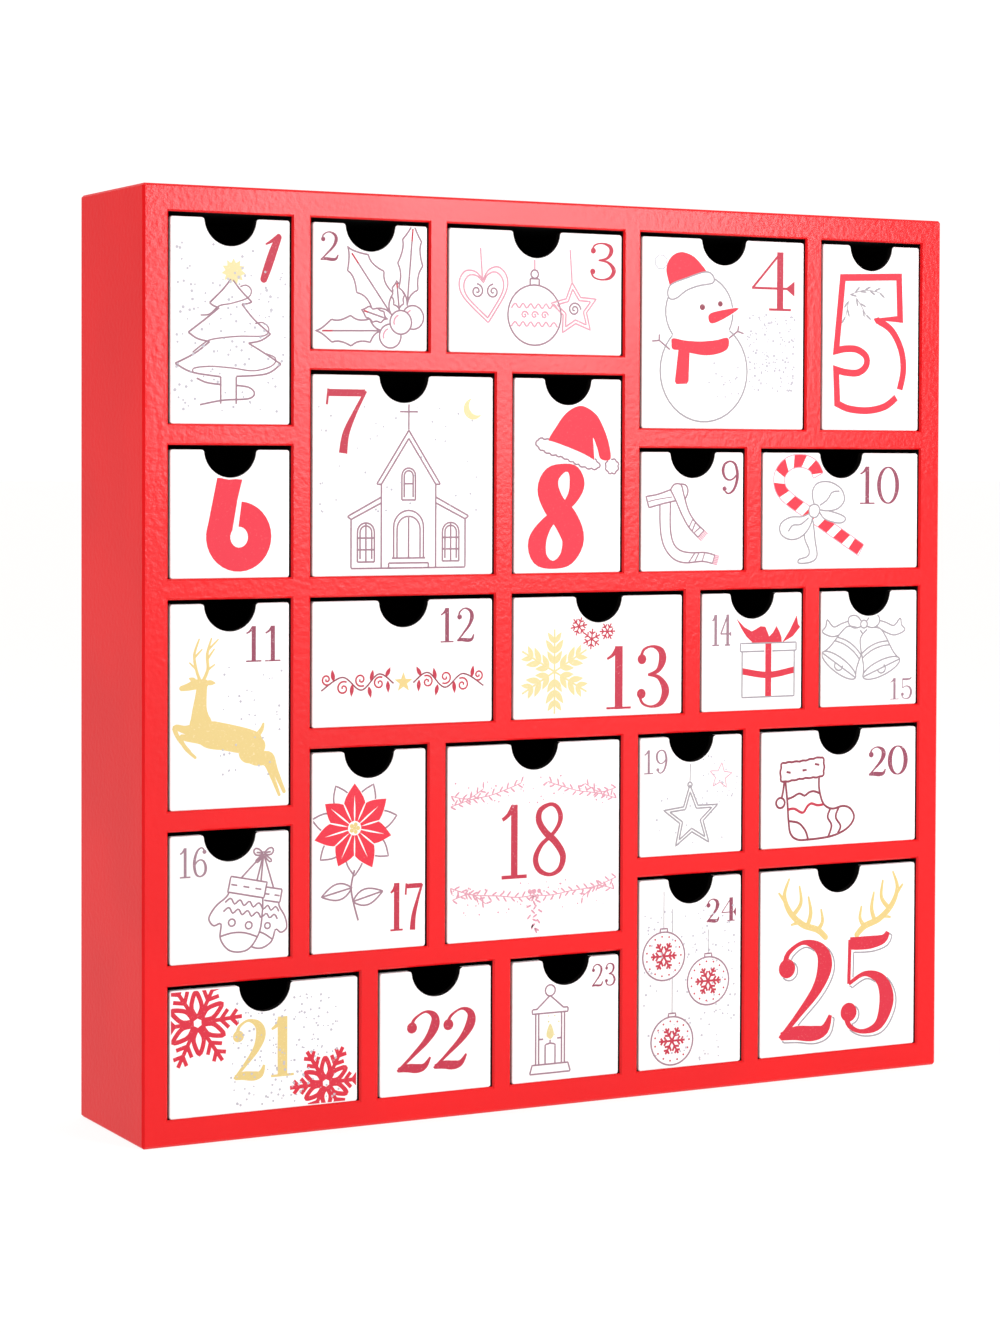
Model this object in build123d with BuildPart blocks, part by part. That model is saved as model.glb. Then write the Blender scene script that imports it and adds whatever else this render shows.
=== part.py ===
from build123d import *
import os
from dataclasses import dataclass

# Advent calendar cabinet: a shallow open-fronted case of painted boards, divided by interlocking
# shelves and dividers into twenty-five bays, with one notched drawer in each bay.
# Millimetres, +Z up. The origin is at the middle of the base, and the drawer fronts face -Y.

# Bays: two widths and two heights, mixed so that the grid looks irregular
NARROW = 44.5
WIDE = 70.25
SHORT = 44.5
TALL = 70.25

# Widths along each row from the left, and heights down each column from the top, in drawer order
ROW_WIDTHS = ("NNWWN", "NWNNW", "NWWNN", "NNWNW", "WNNNW")
ROW_HEIGHTS = ("TSSTT", "STTSS", "TSSSS", "STTSS", "SSSTT")
BAY_WIDTH = {"N": NARROW, "W": WIDE}
BAY_HEIGHT = {"S": SHORT, "T": TALL}

# Case boards
OUTER_BOARD = 9.0
INNER_BOARD = 7.0
CASE_DEPTH = 60.0
CORNER_LIP = 3.0
HOUSING_DEPTH = 2.0
BACK_THICKNESS = 3.0
BACK_REBATE = 5.0
BACK_INSET = 0.6
BACK_CLEARANCE = 0.25
CASE_ARRIS = 0.8
BAY_ARRIS = 0.6

# Drawer fronts
FRONT_THICKNESS = 3.0
FRONT_RECESS = 0.5
FRONT_SIDE_GAP = 0.75
FRONT_TOP_GAP = 1.5
FRONT_CORNER = 0.9
NOTCH_RADIUS = 9.3
NOTCH_SHOULDER = 1.0

# Drawer trays
TRAY_WALL = 2.5
TRAY_FLOOR = 2.0
TRAY_INSET = 0.5
TRAY_DROP = 2.5
TRAY_BACK_GAP = 0.3

# The case is as wide and as high as its bays and boards add up to
CASE_WIDTH = (
    sum(BAY_WIDTH[letter] for letter in ROW_WIDTHS[0])
    + INNER_BOARD * (len(ROW_WIDTHS[0]) - 1)
    + OUTER_BOARD * 2
)
CASE_HEIGHT = (
    sum(BAY_HEIGHT[row[0]] for row in ROW_HEIGHTS)
    + INNER_BOARD * (len(ROW_HEIGHTS) - 1)
    + OUTER_BOARD * 2
)
INNER_DEPTH = CASE_DEPTH - BACK_INSET - BACK_THICKNESS

# Front plane of the case: its normal points out of the front, so negative amounts go into the case
FRONT = Plane.XZ.offset(CASE_DEPTH / 2)
BACK = FRONT.offset(-CASE_DEPTH)

# Boards that share less than this only touch
TOUCH = 1e-6


@dataclass(frozen=True)
class Slab:
    """A rectangle in the front view: a bay, or a board seen end on."""

    left: float
    right: float
    bottom: float
    top: float

    @property
    def middle(self):
        """Middle of the slab across its width."""
        return (self.left + self.right) / 2

    def grown(self, margin):
        """The slab with a margin added on all four sides."""
        return Slab(self.left - margin, self.right + margin, self.bottom - margin, self.top + margin)

    def overlaps(self, other):
        """Whether two slabs share an area, and don't only touch."""
        across = min(self.right, other.right) - max(self.left, other.left)
        up = min(self.top, other.top) - max(self.bottom, other.bottom)
        return across > TOUCH and up > TOUCH

    def runs_across(self, other):
        """Whether this slab reaches both sides of the other, across or up."""
        across = self.left <= other.left and self.right >= other.right
        up = self.bottom <= other.bottom and self.top >= other.top
        return across if self.right - self.left > self.top - self.bottom else up

    def is_housed_in(self, other):
        """Whether an end of this board sits in a groove of the other."""
        return self.overlaps(other) and not self.runs_across(other)

    def crosses(self, other):
        """Whether the two boards run right through each other."""
        return self.overlaps(other) and self.runs_across(other) and other.runs_across(self)


def draw(slab, mode=Mode.ADD):
    """Draw a slab in the open sketch."""
    with Locations((slab.middle, (slab.bottom + slab.top) / 2)):
        Rectangle(slab.right - slab.left, slab.top - slab.bottom, mode=mode)


def lay_out_bays():
    """Bays by drawer number, numbered along the rows from the top left."""
    bays = {}
    tops = [CASE_HEIGHT - OUTER_BOARD] * len(ROW_WIDTHS[0])
    for widths, heights in zip(ROW_WIDTHS, ROW_HEIGHTS):
        left = OUTER_BOARD - CASE_WIDTH / 2
        for place, (width, height) in enumerate(zip(widths, heights)):
            right = left + BAY_WIDTH[width]
            bottom = tops[place] - BAY_HEIGHT[height]
            bays[len(bays) + 1] = Slab(left, right, bottom, tops[place])
            left = right + INNER_BOARD
            tops[place] = bottom - INNER_BOARD
    return bays


BAYS = lay_out_bays()


def shelf(first, last, below):
    """Shelf under the bays from first to last, down to the top of the bay below, with housed ends."""
    left = BAYS[first].left - HOUSING_DEPTH
    right = BAYS[last].right + HOUSING_DEPTH
    return Slab(left, right, BAYS[below].top, BAYS[first].bottom)


def divider(left_bay, right_bay, lowest, highest):
    """Divider between two bays, from the lowest bay's floor to the highest one's top, with housed ends."""
    bottom = BAYS[lowest].bottom - HOUSING_DEPTH
    top = BAYS[highest].top + HOUSING_DEPTH
    return Slab(BAYS[left_bay].right, BAYS[right_bay].left, bottom, top)


HALF_WIDTH = CASE_WIDTH / 2
OUTER_BOARDS = {
    "left_side": Slab(-HALF_WIDTH, OUTER_BOARD - HALF_WIDTH, 0, CASE_HEIGHT),
    "right_side": Slab(HALF_WIDTH - OUTER_BOARD, HALF_WIDTH, 0, CASE_HEIGHT),
    "bottom_board": Slab(CORNER_LIP - HALF_WIDTH, HALF_WIDTH - CORNER_LIP, 0, OUTER_BOARD),
    "top_board": Slab(
        CORNER_LIP - HALF_WIDTH, HALF_WIDTH - CORNER_LIP, CASE_HEIGHT - OUTER_BOARD, CASE_HEIGHT
    ),
}
LONG_BOARDS = {
    "middle_shelf": shelf(6, 10, below=11),
    "lower_shelf": shelf(12, 15, below=17),
    "column_divider": divider(1, 2, lowest=16, highest=1),
}
SHORT_SHELVES = [
    shelf(1, 1, below=6),
    shelf(2, 3, below=7),
    shelf(4, 5, below=9),
    shelf(11, 11, below=16),
    shelf(16, 18, below=21),
    shelf(19, 20, below=24),
]
SHORT_DIVIDERS = [
    divider(2, 3, lowest=2, highest=2),
    divider(3, 4, lowest=9, highest=4),
    divider(4, 5, lowest=4, highest=4),
    divider(7, 8, lowest=7, highest=7),
    divider(9, 10, lowest=9, highest=9),
    divider(12, 13, lowest=12, highest=12),
    divider(13, 14, lowest=14, highest=14),
    divider(14, 15, lowest=14, highest=14),
    divider(17, 18, lowest=17, highest=17),
    divider(19, 20, lowest=24, highest=19),
    divider(21, 22, lowest=22, highest=22),
    divider(22, 23, lowest=22, highest=22),
    divider(23, 24, lowest=24, highest=19),
]
ALL_BOARDS = [*OUTER_BOARDS.values(), *LONG_BOARDS.values(), *SHORT_SHELVES, *SHORT_DIVIDERS]
DIVIDERS = [LONG_BOARDS["column_divider"], *SHORT_DIVIDERS]

# Space inside the four outer boards, and the back panel that closes it in a rebate
INSIDE = Slab(OUTER_BOARD - HALF_WIDTH, HALF_WIDTH - OUTER_BOARD, OUTER_BOARD, CASE_HEIGHT - OUTER_BOARD)
REBATE = INSIDE.grown(BACK_REBATE)

# Sharp edge taken off round the mouth of every bay, once the boards are together
with BuildPart() as bay_mouths:
    for bay in BAYS.values():
        with BuildSketch(FRONT):
            draw(bay.grown(BAY_ARRIS))
        with BuildSketch(FRONT.offset(-BAY_ARRIS)):
            draw(bay)
        loft()

# Outside of the case with its sharp edges taken off
with BuildPart() as envelope:
    with BuildSketch(FRONT):
        draw(Slab(-HALF_WIDTH, HALF_WIDTH, 0, CASE_HEIGHT))
    extrude(amount=-CASE_DEPTH)
    chamfer(envelope.edges(), CASE_ARRIS)


def outer_board(own):
    """Side, top or bottom of the case, grooved for the boards housed in it and rebated for the back."""
    with BuildPart() as board:
        with BuildSketch(FRONT):
            draw(own)
            for other in ALL_BOARDS:
                if other.is_housed_in(own):
                    draw(other, mode=Mode.SUBTRACT)
        extrude(amount=-CASE_DEPTH)
        with BuildSketch(BACK):
            draw(REBATE)
        extrude(amount=BACK_INSET + BACK_THICKNESS, mode=Mode.SUBTRACT)
        add(envelope.part, mode=Mode.INTERSECT)
        add(bay_mouths.part, mode=Mode.SUBTRACT)
    return board.part


def inner_board(own):
    """Shelf or divider, grooved for the ends housed in it and half-lapped where it crosses another."""
    # Shelves are slotted from the back and dividers from the front, so they slide into each other
    slot_plane = FRONT if own in DIVIDERS else FRONT.offset(-INNER_DEPTH / 2)
    with BuildPart() as board:
        with BuildSketch(FRONT):
            draw(own)
            for other in ALL_BOARDS:
                if other.is_housed_in(own):
                    draw(other, mode=Mode.SUBTRACT)
        extrude(amount=-INNER_DEPTH)
        for other in ALL_BOARDS:
            if other.crosses(own) and other != own:
                with BuildSketch(slot_plane):
                    draw(other)
                extrude(amount=-INNER_DEPTH / 2, mode=Mode.SUBTRACT)
        add(bay_mouths.part, mode=Mode.SUBTRACT)
    return board.part


def drawer_front(bay):
    """Drawer front: a thin board with rounded corners and a half-round finger notch in its top edge."""
    width = bay.right - bay.left - 2 * FRONT_SIDE_GAP
    height = bay.top - bay.bottom - FRONT_TOP_GAP
    with BuildPart() as front:
        with BuildSketch(FRONT.offset(-FRONT_RECESS)) as face:
            with Locations((bay.middle, bay.bottom + height / 2)):
                RectangleRounded(width, height, FRONT_CORNER)
            with Locations((bay.middle, bay.bottom + height)):
                Circle(NOTCH_RADIUS, mode=Mode.SUBTRACT)
            top_points = face.vertices().group_by(Axis.Y)[-1]
            fillet(top_points.sort_by(lambda point: abs(point.X - bay.middle))[:2], NOTCH_SHOULDER)
        extrude(amount=-FRONT_THICKNESS)
    return front.part


def tray_board(slab, start, length):
    """One board of a tray, from start behind the case's front plane and back over its length."""
    with BuildPart() as board:
        with BuildSketch(FRONT.offset(-start)):
            draw(slab)
        extrude(amount=-length)
    return board.part


def tray_boards(bay):
    """Left wall, right wall, back and floor of a drawer, glued up behind its front."""
    inset = FRONT_SIDE_GAP + TRAY_INSET
    left = bay.left + inset
    right = bay.right - inset
    top = bay.top - FRONT_TOP_GAP - TRAY_DROP
    start = FRONT_RECESS + FRONT_THICKNESS
    length = INNER_DEPTH - TRAY_BACK_GAP - start
    left_wall = Slab(left, left + TRAY_WALL, bay.bottom, top)
    right_wall = Slab(right - TRAY_WALL, right, bay.bottom, top)
    back_wall = Slab(left + TRAY_WALL, right - TRAY_WALL, bay.bottom, top)
    floor = Slab(left + TRAY_WALL, right - TRAY_WALL, bay.bottom, bay.bottom + TRAY_FLOOR)
    return [
        tray_board(left_wall, start, length),
        tray_board(right_wall, start, length),
        tray_board(back_wall, start + length - TRAY_WALL, TRAY_WALL),
        tray_board(floor, start, length - TRAY_WALL),
    ]


def write(piece, label):
    """Label one piece, or a group of pieces, and write it to its own file."""
    piece.label = label
    export_step(piece, f"parts/{label}.step")


os.makedirs("parts", exist_ok=True)

for name, slab in OUTER_BOARDS.items():
    write(outer_board(slab), name)

for name, slab in LONG_BOARDS.items():
    write(inner_board(slab), name)

write(Compound(children=[inner_board(slab) for slab in SHORT_SHELVES]), "short_shelves")
write(Compound(children=[inner_board(slab) for slab in SHORT_DIVIDERS]), "short_dividers")

with BuildPart() as back_panel:
    with BuildSketch(BACK.offset(BACK_INSET)):
        draw(REBATE.grown(-BACK_CLEARANCE))
    extrude(amount=BACK_THICKNESS)
write(back_panel.part, "back_panel")

for number, bay in BAYS.items():
    write(drawer_front(bay), f"drawer_front_{number:02d}")
    write(Compound(children=tray_boards(bay)), f"drawer_tray_{number:02d}")
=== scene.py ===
"""Looks of a wooden advent calendar: a red painted case, printed white drawer fronts and black trays.

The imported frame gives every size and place. The boards keep their own meshes and get a paint finish.
Each drawer front is a copy with its sharp edges eased. A thin film of ink on it carries a number and an
ornament.
"""

import logging
import math
from collections import defaultdict
from collections.abc import Callable, Iterable
from dataclasses import dataclass, field, replace
from enum import Enum
from functools import cache, partial

import bmesh
import bpy
from mathutils import Euler, Matrix, Vector
from mathutils.geometry import convex_hull_2d, delaunay_2d_cdt

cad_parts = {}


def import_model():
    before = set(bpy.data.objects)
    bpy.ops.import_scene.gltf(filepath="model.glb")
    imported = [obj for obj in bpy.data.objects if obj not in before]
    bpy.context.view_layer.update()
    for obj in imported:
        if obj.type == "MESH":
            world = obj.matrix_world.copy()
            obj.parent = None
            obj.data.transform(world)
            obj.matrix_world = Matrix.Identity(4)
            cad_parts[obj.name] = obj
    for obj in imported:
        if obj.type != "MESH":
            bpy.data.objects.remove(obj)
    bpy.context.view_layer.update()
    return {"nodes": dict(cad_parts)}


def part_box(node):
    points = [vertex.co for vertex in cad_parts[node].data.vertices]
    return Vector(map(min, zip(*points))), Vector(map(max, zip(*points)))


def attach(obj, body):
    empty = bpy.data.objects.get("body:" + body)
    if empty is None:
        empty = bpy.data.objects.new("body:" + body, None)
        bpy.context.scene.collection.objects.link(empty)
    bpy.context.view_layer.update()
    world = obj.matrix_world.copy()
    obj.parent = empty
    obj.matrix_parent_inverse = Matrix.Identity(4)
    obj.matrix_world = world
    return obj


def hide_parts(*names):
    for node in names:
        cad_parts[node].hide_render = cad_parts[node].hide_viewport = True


LOG = logging.getLogger("advent_calendar")
MM = 0.001

Point = tuple[float, ...]
Outline = list[Point]
Box = tuple[float, float, float, float]
Range = tuple[float, float]
CadNodes = dict[str, bpy.types.Object]
Tree = bpy.types.NodeTree
Node = bpy.types.Node
Socket = bpy.types.NodeSocket
Size = Node | Socket | float
Inputs = dict[str | int, object]


# Nodes and finishes


def linear(hex_colour: str) -> tuple[float, float, float, float]:
    """Turn an sRGB hex value into a linear colour.

    Args:
        hex_colour: Colour as "#RRGGBB".

    Returns:
        Red, green, blue and alpha, linear.
    """
    channels = [int(hex_colour[i : i + 2], 16) / 255 for i in (1, 3, 5)]
    red, green, blue = (c / 12.92 if c <= 0.04045 else ((c + 0.055) / 1.055) ** 2.4 for c in channels)
    return red, green, blue, 1.0


def feed(tree: Tree, node: Node, inputs: Inputs) -> None:
    """Link or set the inputs of a node.

    Args:
        tree: Tree that holds the node.
        node: The node.
        inputs: Nodes, output sockets or values by input name or index. A node gives its first output in use.
    """
    for key, value in inputs.items():
        if isinstance(value, Node):
            value = next(socket for socket in value.outputs if socket.enabled)
        if isinstance(value, Socket):
            tree.links.new(value, node.inputs[key])
        else:
            node.inputs[key].default_value = value


def add_node(tree: Tree, kind: str, inputs: Inputs | None = None, **settings: object) -> Node:
    """Add a node with its settings and links.

    Args:
        tree: Shader or geometry tree that gets the node.
        kind: Blender's name of the node type.
        inputs: What its inputs get.
        settings: Properties of the node.

    Returns:
        The new node.
    """
    node = tree.nodes.new(kind)
    for name, value in settings.items():
        setattr(node, name, value)
    feed(tree, node, inputs or {})
    return node


def add_object(name: str, data: bpy.types.ID) -> bpy.types.Object:
    """Put a mesh, curve, light or camera in the scene.

    Args:
        name: Name of the object.
        data: What it holds.

    Returns:
        The new object, at the origin.
    """
    thing = bpy.data.objects.new(name, data)
    bpy.context.scene.collection.objects.link(thing)
    return thing


@dataclass(frozen=True)
class Finish:
    """A surface finish that becomes one shared material."""

    name: str
    colour: str
    roughness: float
    specular: float = 0.5

    def material(self) -> bpy.types.Material:
        """Make the material on first use, and find it again after that.

        Returns:
            The shared material.
        """
        known = bpy.data.materials.get(self.name)
        if known:
            return known
        material = bpy.data.materials.new(self.name)
        material.use_nodes = True
        tree = material.node_tree
        tree.nodes.clear()
        shader = add_node(tree, "ShaderNodeBsdfPrincipled", self.values())
        feed(tree, shader, self.patterns(tree))
        add_node(tree, "ShaderNodeOutputMaterial", {"Surface": shader})
        return material

    def values(self) -> Inputs:
        """Even values of the shader, by its input names."""
        colour = linear(self.colour)
        return {"Base Color": colour, "Roughness": self.roughness, "Specular IOR Level": self.specular}

    def patterns(self, tree: Tree) -> Inputs:
        """Patterns of the finish, by the shader's input names."""
        return {}


@dataclass(frozen=True)
class SprayedPaint(Finish):
    """Satin paint sprayed on board: faint clouds of colour, dust nibs and the orange peel of the spray."""

    shade: str = "#000000"
    cloud_mm: float = 45.0
    cloud_range: Range = (0.2, 0.8)
    cloud_share: float = 0.6
    nib_mm: float = 1.1
    nib_range: Range = (0.80, 0.86)
    nib_share: float = 0.0
    gloss_spread: float = 0.04
    peel_mm: float = 2.0
    peel_depth_mm: float = 0.17
    peel_strength: float = 0.6

    def patterns(self, tree: Tree) -> Inputs:
        """Mix a second shade in clouds and in nibs, vary the gloss, and add the peel as bump.

        Args:
            tree: Node tree of the material.

        Returns:
            Patterns by the shader's input names.
        """
        place = add_node(tree, "ShaderNodeTexCoord").outputs["Object"]
        sizes = ((self.cloud_mm, 1.0), (self.nib_mm, 1.0), (self.peel_mm, 2.0))
        noises = ({"Vector": place, "Scale": 1 / (size * MM), "Detail": detail} for size, detail in sizes)
        clouds, nibs, peel = (add_node(tree, "ShaderNodeTexNoise", noise) for noise in noises)
        low, high = self.cloud_range
        tint = {"Value": clouds, "From Min": low, "From Max": high, "To Max": self.cloud_share}
        tint = add_node(tree, "ShaderNodeMapRange", tint, interpolation_type="SMOOTHERSTEP")
        low, high = self.nib_range
        mark = {"Value": nibs, "From Min": low, "From Max": high, "To Max": self.nib_share}
        mark = add_node(tree, "ShaderNodeMapRange", mark)
        either = add_node(tree, "ShaderNodeMath", {0: tint, 1: mark}, operation="ADD")
        colours = {0: either, 6: linear(self.colour), 7: linear(self.shade)}
        low, high = self.roughness - self.gloss_spread, self.roughness + self.gloss_spread
        gloss = {"Value": clouds, "To Min": low, "To Max": high}
        relief = {"Height": peel, "Distance": self.peel_depth_mm * MM, "Strength": self.peel_strength}
        return {
            "Base Color": add_node(tree, "ShaderNodeMix", colours, data_type="RGBA"),
            "Roughness": add_node(tree, "ShaderNodeMapRange", gloss),
            "Normal": add_node(tree, "ShaderNodeBump", relief),
        }


@dataclass(frozen=True)
class CasePaint(SprayedPaint):
    """Paint of the case, which wraps round the front edges, with a near-black painted shade inside the bays
    behind them.
    """

    # Painted shade: near-black colour and dull gloss inside the bays, where shade falls, between these two
    # corners
    bay: str = "#000000"
    bay_roughness: float = 0.8
    bay_low: Point = (0.0, 0.0, 0.0)
    bay_high: Point = (1.0, 1.0, 1.0)
    flank_from: float = 1.0
    flank_roughness: float = 0.42
    flank_specular: float = 0.17

    def patterns(self, tree: Tree) -> Inputs:
        """Add the dull outer sides, and the near-black painted shade inside the box that holds the bays.

        Args:
            tree: Node tree of the material.

        Returns:
            Patterns by the shader's input names.
        """
        painted = super().patterns(tree)
        place = add_node(tree, "ShaderNodeTexCoord").outputs["Object"]
        across = add_node(tree, "ShaderNodeSeparateXYZ", {"Vector": place}).outputs["X"]
        across = add_node(tree, "ShaderNodeMath", {0: across}, operation="ABSOLUTE")
        flank = add_node(tree, "ShaderNodeMath", {0: across, 1: self.flank_from}, operation="GREATER_THAN")
        dull = add_node(tree, "ShaderNodeMix", {0: flank, 2: painted["Roughness"], 3: self.flank_roughness})
        sheen = {0: flank, 2: self.specular, 3: self.flank_specular}
        low, high = Vector(self.bay_low), Vector(self.bay_high)
        offset = add_node(tree, "ShaderNodeVectorMath", {0: place, 1: (low + high) / 2}, operation="SUBTRACT")
        offset = add_node(tree, "ShaderNodeVectorMath", {0: offset}, operation="ABSOLUTE")
        share = add_node(tree, "ShaderNodeVectorMath", {0: offset, 1: (high - low) / 2}, operation="DIVIDE")
        share = add_node(tree, "ShaderNodeSeparateXYZ", {"Vector": share}).outputs
        widest = add_node(tree, "ShaderNodeMath", {0: share["X"], 1: share["Y"]}, operation="MAXIMUM")
        widest = add_node(tree, "ShaderNodeMath", {0: widest, 1: share["Z"]}, operation="MAXIMUM")
        # Painted shade: inside the box of the bays the colour turns near black and the gloss dull
        in_painted_shade = add_node(tree, "ShaderNodeMath", {0: widest, 1: 1.0}, operation="LESS_THAN")
        colours = {0: in_painted_shade, 6: painted["Base Color"], 7: linear(self.bay)}
        gloss = {0: in_painted_shade, 2: dull, 3: self.bay_roughness}
        return {
            **painted,
            "Base Color": add_node(tree, "ShaderNodeMix", colours, data_type="RGBA"),
            "Roughness": add_node(tree, "ShaderNodeMix", gloss),
            "Specular IOR Level": add_node(tree, "ShaderNodeMix", sheen),
        }


@dataclass(frozen=True)
class LightTable(Finish):
    """Milky sheet lit from below, so that it reads as white."""

    shade: str = "#000000"
    shade_mm: float = 30.0
    light: str = "#FFFEFD"
    glow: float = 0.85

    def values(self) -> Inputs:
        """Even values of the shader, with the light."""
        return {**super().values(), "Emission Color": linear(self.light), "Emission Strength": self.glow}

    def patterns(self, tree: Tree) -> Inputs:
        """Make the milk uneven.

        Args:
            tree: Node tree of the material.

        Returns:
            Patterns by the shader's input names.
        """
        place = add_node(tree, "ShaderNodeTexCoord").outputs["Object"]
        noise = {"Vector": place, "Scale": 1 / (self.shade_mm * MM), "Detail": 2.0}
        milk = add_node(tree, "ShaderNodeTexNoise", noise)
        colours = {0: milk, 6: linear(self.colour), 7: linear(self.shade)}
        return {"Base Color": add_node(tree, "ShaderNodeMix", colours, data_type="RGBA")}


@dataclass(frozen=True)
class StainedBoard(Finish):
    """Matt stain wiped on thin board: streaks along the board where the fibres take more colour."""

    streak: str = "#000000"
    streak_mm: float = 0.9
    streak_length_mm: float = 14.0
    fibre_depth_mm: float = 0.03
    fibre_strength: float = 0.5

    def patterns(self, tree: Tree) -> Inputs:
        """Draw the streaks out along the drawer's depth, in colour and relief.

        Args:
            tree: Node tree of the material.

        Returns:
            Patterns by the shader's input names.
        """
        place = add_node(tree, "ShaderNodeTexCoord").outputs["Object"]
        across = 1 / (self.streak_mm * MM)
        drawn = {"Vector": place, "Scale": (across, 1 / (self.streak_length_mm * MM), across)}
        drawn = add_node(tree, "ShaderNodeMapping", drawn)
        fibres = add_node(tree, "ShaderNodeTexNoise", {"Vector": drawn, "Scale": 1.0, "Detail": 3.0})
        colours = {0: fibres, 6: linear(self.colour), 7: linear(self.streak)}
        relief = {"Height": fibres, "Distance": self.fibre_depth_mm * MM, "Strength": self.fibre_strength}
        return {
            "Base Color": add_node(tree, "ShaderNodeMix", colours, data_type="RGBA"),
            "Normal": add_node(tree, "ShaderNodeBump", relief),
        }


@dataclass(frozen=True)
class ScreenInk(Finish):
    """Screen-printed ink: an even film with pinholes where the white board shows through."""

    roughness: float = 0.5
    specular: float = 0.3
    bare: str = "#F6E9E8"
    pinhole_mm: float = 0.7
    pinhole_share: float = 0.5
    pinhole_range: Range = (0.62, 0.74)

    def patterns(self, tree: Tree) -> Inputs:
        """Let the bare board show through the film in pinholes.

        Args:
            tree: Node tree of the material.

        Returns:
            Patterns by the shader's input names.
        """
        place = add_node(tree, "ShaderNodeTexCoord").outputs["Object"]
        noise = {"Vector": place, "Scale": 1 / (self.pinhole_mm * MM), "Detail": 2.0}
        grain = add_node(tree, "ShaderNodeTexNoise", noise)
        low, high = self.pinhole_range
        holes = {"Value": grain, "From Min": low, "From Max": high, "To Max": self.pinhole_share}
        holes = add_node(tree, "ShaderNodeMapRange", holes)
        colours = {0: holes, 6: linear(self.colour), 7: linear(self.bare)}
        return {"Base Color": add_node(tree, "ShaderNodeMix", colours, data_type="RGBA")}


@dataclass(frozen=True)
class PlatedSteel(Finish):
    """Zinc-plated steel of the panel pins: dull metal with fine drawing marks."""

    mark_mm: float = 0.25
    gloss_spread: float = 0.1

    def values(self) -> Inputs:
        """Even values of the shader, as metal."""
        return {**super().values(), "Metallic": 1.0}

    def patterns(self, tree: Tree) -> Inputs:
        """Vary the gloss in the marks.

        Args:
            tree: Node tree of the material.

        Returns:
            Patterns by the shader's input names.
        """
        place = add_node(tree, "ShaderNodeTexCoord").outputs["Object"]
        noise = {"Vector": place, "Scale": 1 / (self.mark_mm * MM), "Detail": 2.0}
        marks = add_node(tree, "ShaderNodeTexNoise", noise)
        low, high = self.roughness - self.gloss_spread, self.roughness + self.gloss_spread
        gloss = {"Value": marks, "To Min": low, "To Max": high}
        return {"Roughness": add_node(tree, "ShaderNodeMapRange", gloss)}


# Satin alkyd paint sprayed on fibreboard: even red with soft clouds, pale dust nibs and a fine orange peel; a
# near-black painted shade fills the insides of the bays
RED_PAINT = CasePaint(
    "red_satin_paint", "#E30B11", 0.24, 0.28, shade="#D60A10", nib_share=0.35, bay="#0B0808"
)
# Satin white paint under the print: nearly even, with a very fine peel
WHITE_PAINT = SprayedPaint(
    "white_satin_paint", "#F9F7F5", 0.45, 0.3, shade="#F1EEEB", peel_mm=0.9, peel_depth_mm=0.015
)
# Black stain on the thin boards of the trays: matt, with fibres that show as faint streaks
BLACK_STAIN = StainedBoard("black_stained_board", "#090808", 0.85, 0.2, streak="#15120F")
# Zinc-plated pins: grey metal, half dull
PIN_STEEL = PlatedSteel("zinc_plated_pin", "#B9BBBD", 0.42)
# Milky sheet of a light table: white to its far edge with hardly a shadow, and faintly uneven
FLOOR_SHEET = LightTable("pale_floor_sheet", "#7E7D7C", 0.9, 0.1, shade="#777675")


class Ink(Enum):
    """Inks of the prints."""

    # Opaque matt inks of the areas and the lines: flat colour, with more pinholes where the print is thinner
    SCARLET = ScreenInk("scarlet_screen_ink", "#DC273B", pinhole_share=0.05)
    RUBY = ScreenInk("ruby_screen_ink", "#CC2338", pinhole_share=0.1)
    CRIMSON = ScreenInk("crimson_screen_ink", "#B62A40", pinhole_share=0.18)
    BERRY = ScreenInk("berry_screen_ink", "#8C4055", pinhole_share=0.35)
    MAROON = ScreenInk("maroon_line_ink", "#873646", pinhole_share=0.2)
    MAUVE = ScreenInk("mauve_line_ink", "#967480", pinhole_share=0.2)
    ROSE = ScreenInk("rose_line_ink", "#D193A1", pinhole_share=0.4)
    GREY = ScreenInk("grey_line_ink", "#9A9498", pinhole_share=0.2)
    MIST = ScreenInk("pale_grey_snow_ink", "#B7B4BB", pinhole_share=0.3)
    # Gold-coloured inks without metal in them: a warm pale film, a little glossier and patchy
    GOLD = ScreenInk("gold_screen_ink", "#D8BF78", 0.4, 0.4, bare="#F2E5C2", pinhole_share=0.45)
    STRAW = ScreenInk("pale_gold_screen_ink", "#D8CA8E", 0.4, 0.4, bare="#F2EAD0", pinhole_share=0.4)


# Geometry trees


# Sides of a speck or leaf of ink, and points across the half-round of a line
DOT_SIDES = 6
BEAD_POINTS = 5
# Least and most of a random value, by its inputs. Specks and leaves lie in heaps, so their thickness varies
# and no two faces share a plane. Leaves also lean more or less than their usual angle.
THICKNESS_SPREAD = {2: 1.1, 3: 1.6}
LEAN_SPREAD = {2: 0.7, 3: 1.3}


def start_tree(name: str, sizes: dict[str, str]) -> tuple[Tree, bpy.types.NodeOutputs]:
    """Start a geometry tree with named inputs.

    Args:
        name: Name of the tree.
        sizes: Input names with the kind of value each takes, such as Float or Int.

    Returns:
        The tree and the outputs of its group input.
    """
    tree = bpy.data.node_groups.new(name, "GeometryNodeTree")
    tree.interface.new_socket("Geometry", in_out="INPUT", socket_type="NodeSocketGeometry")
    for label, kind in sizes.items():
        tree.interface.new_socket(label, in_out="INPUT", socket_type=f"NodeSocket{kind}")
    tree.interface.new_socket("Geometry", in_out="OUTPUT", socket_type="NodeSocketGeometry")
    return tree, add_node(tree, "NodeGroupInput").outputs


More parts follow.
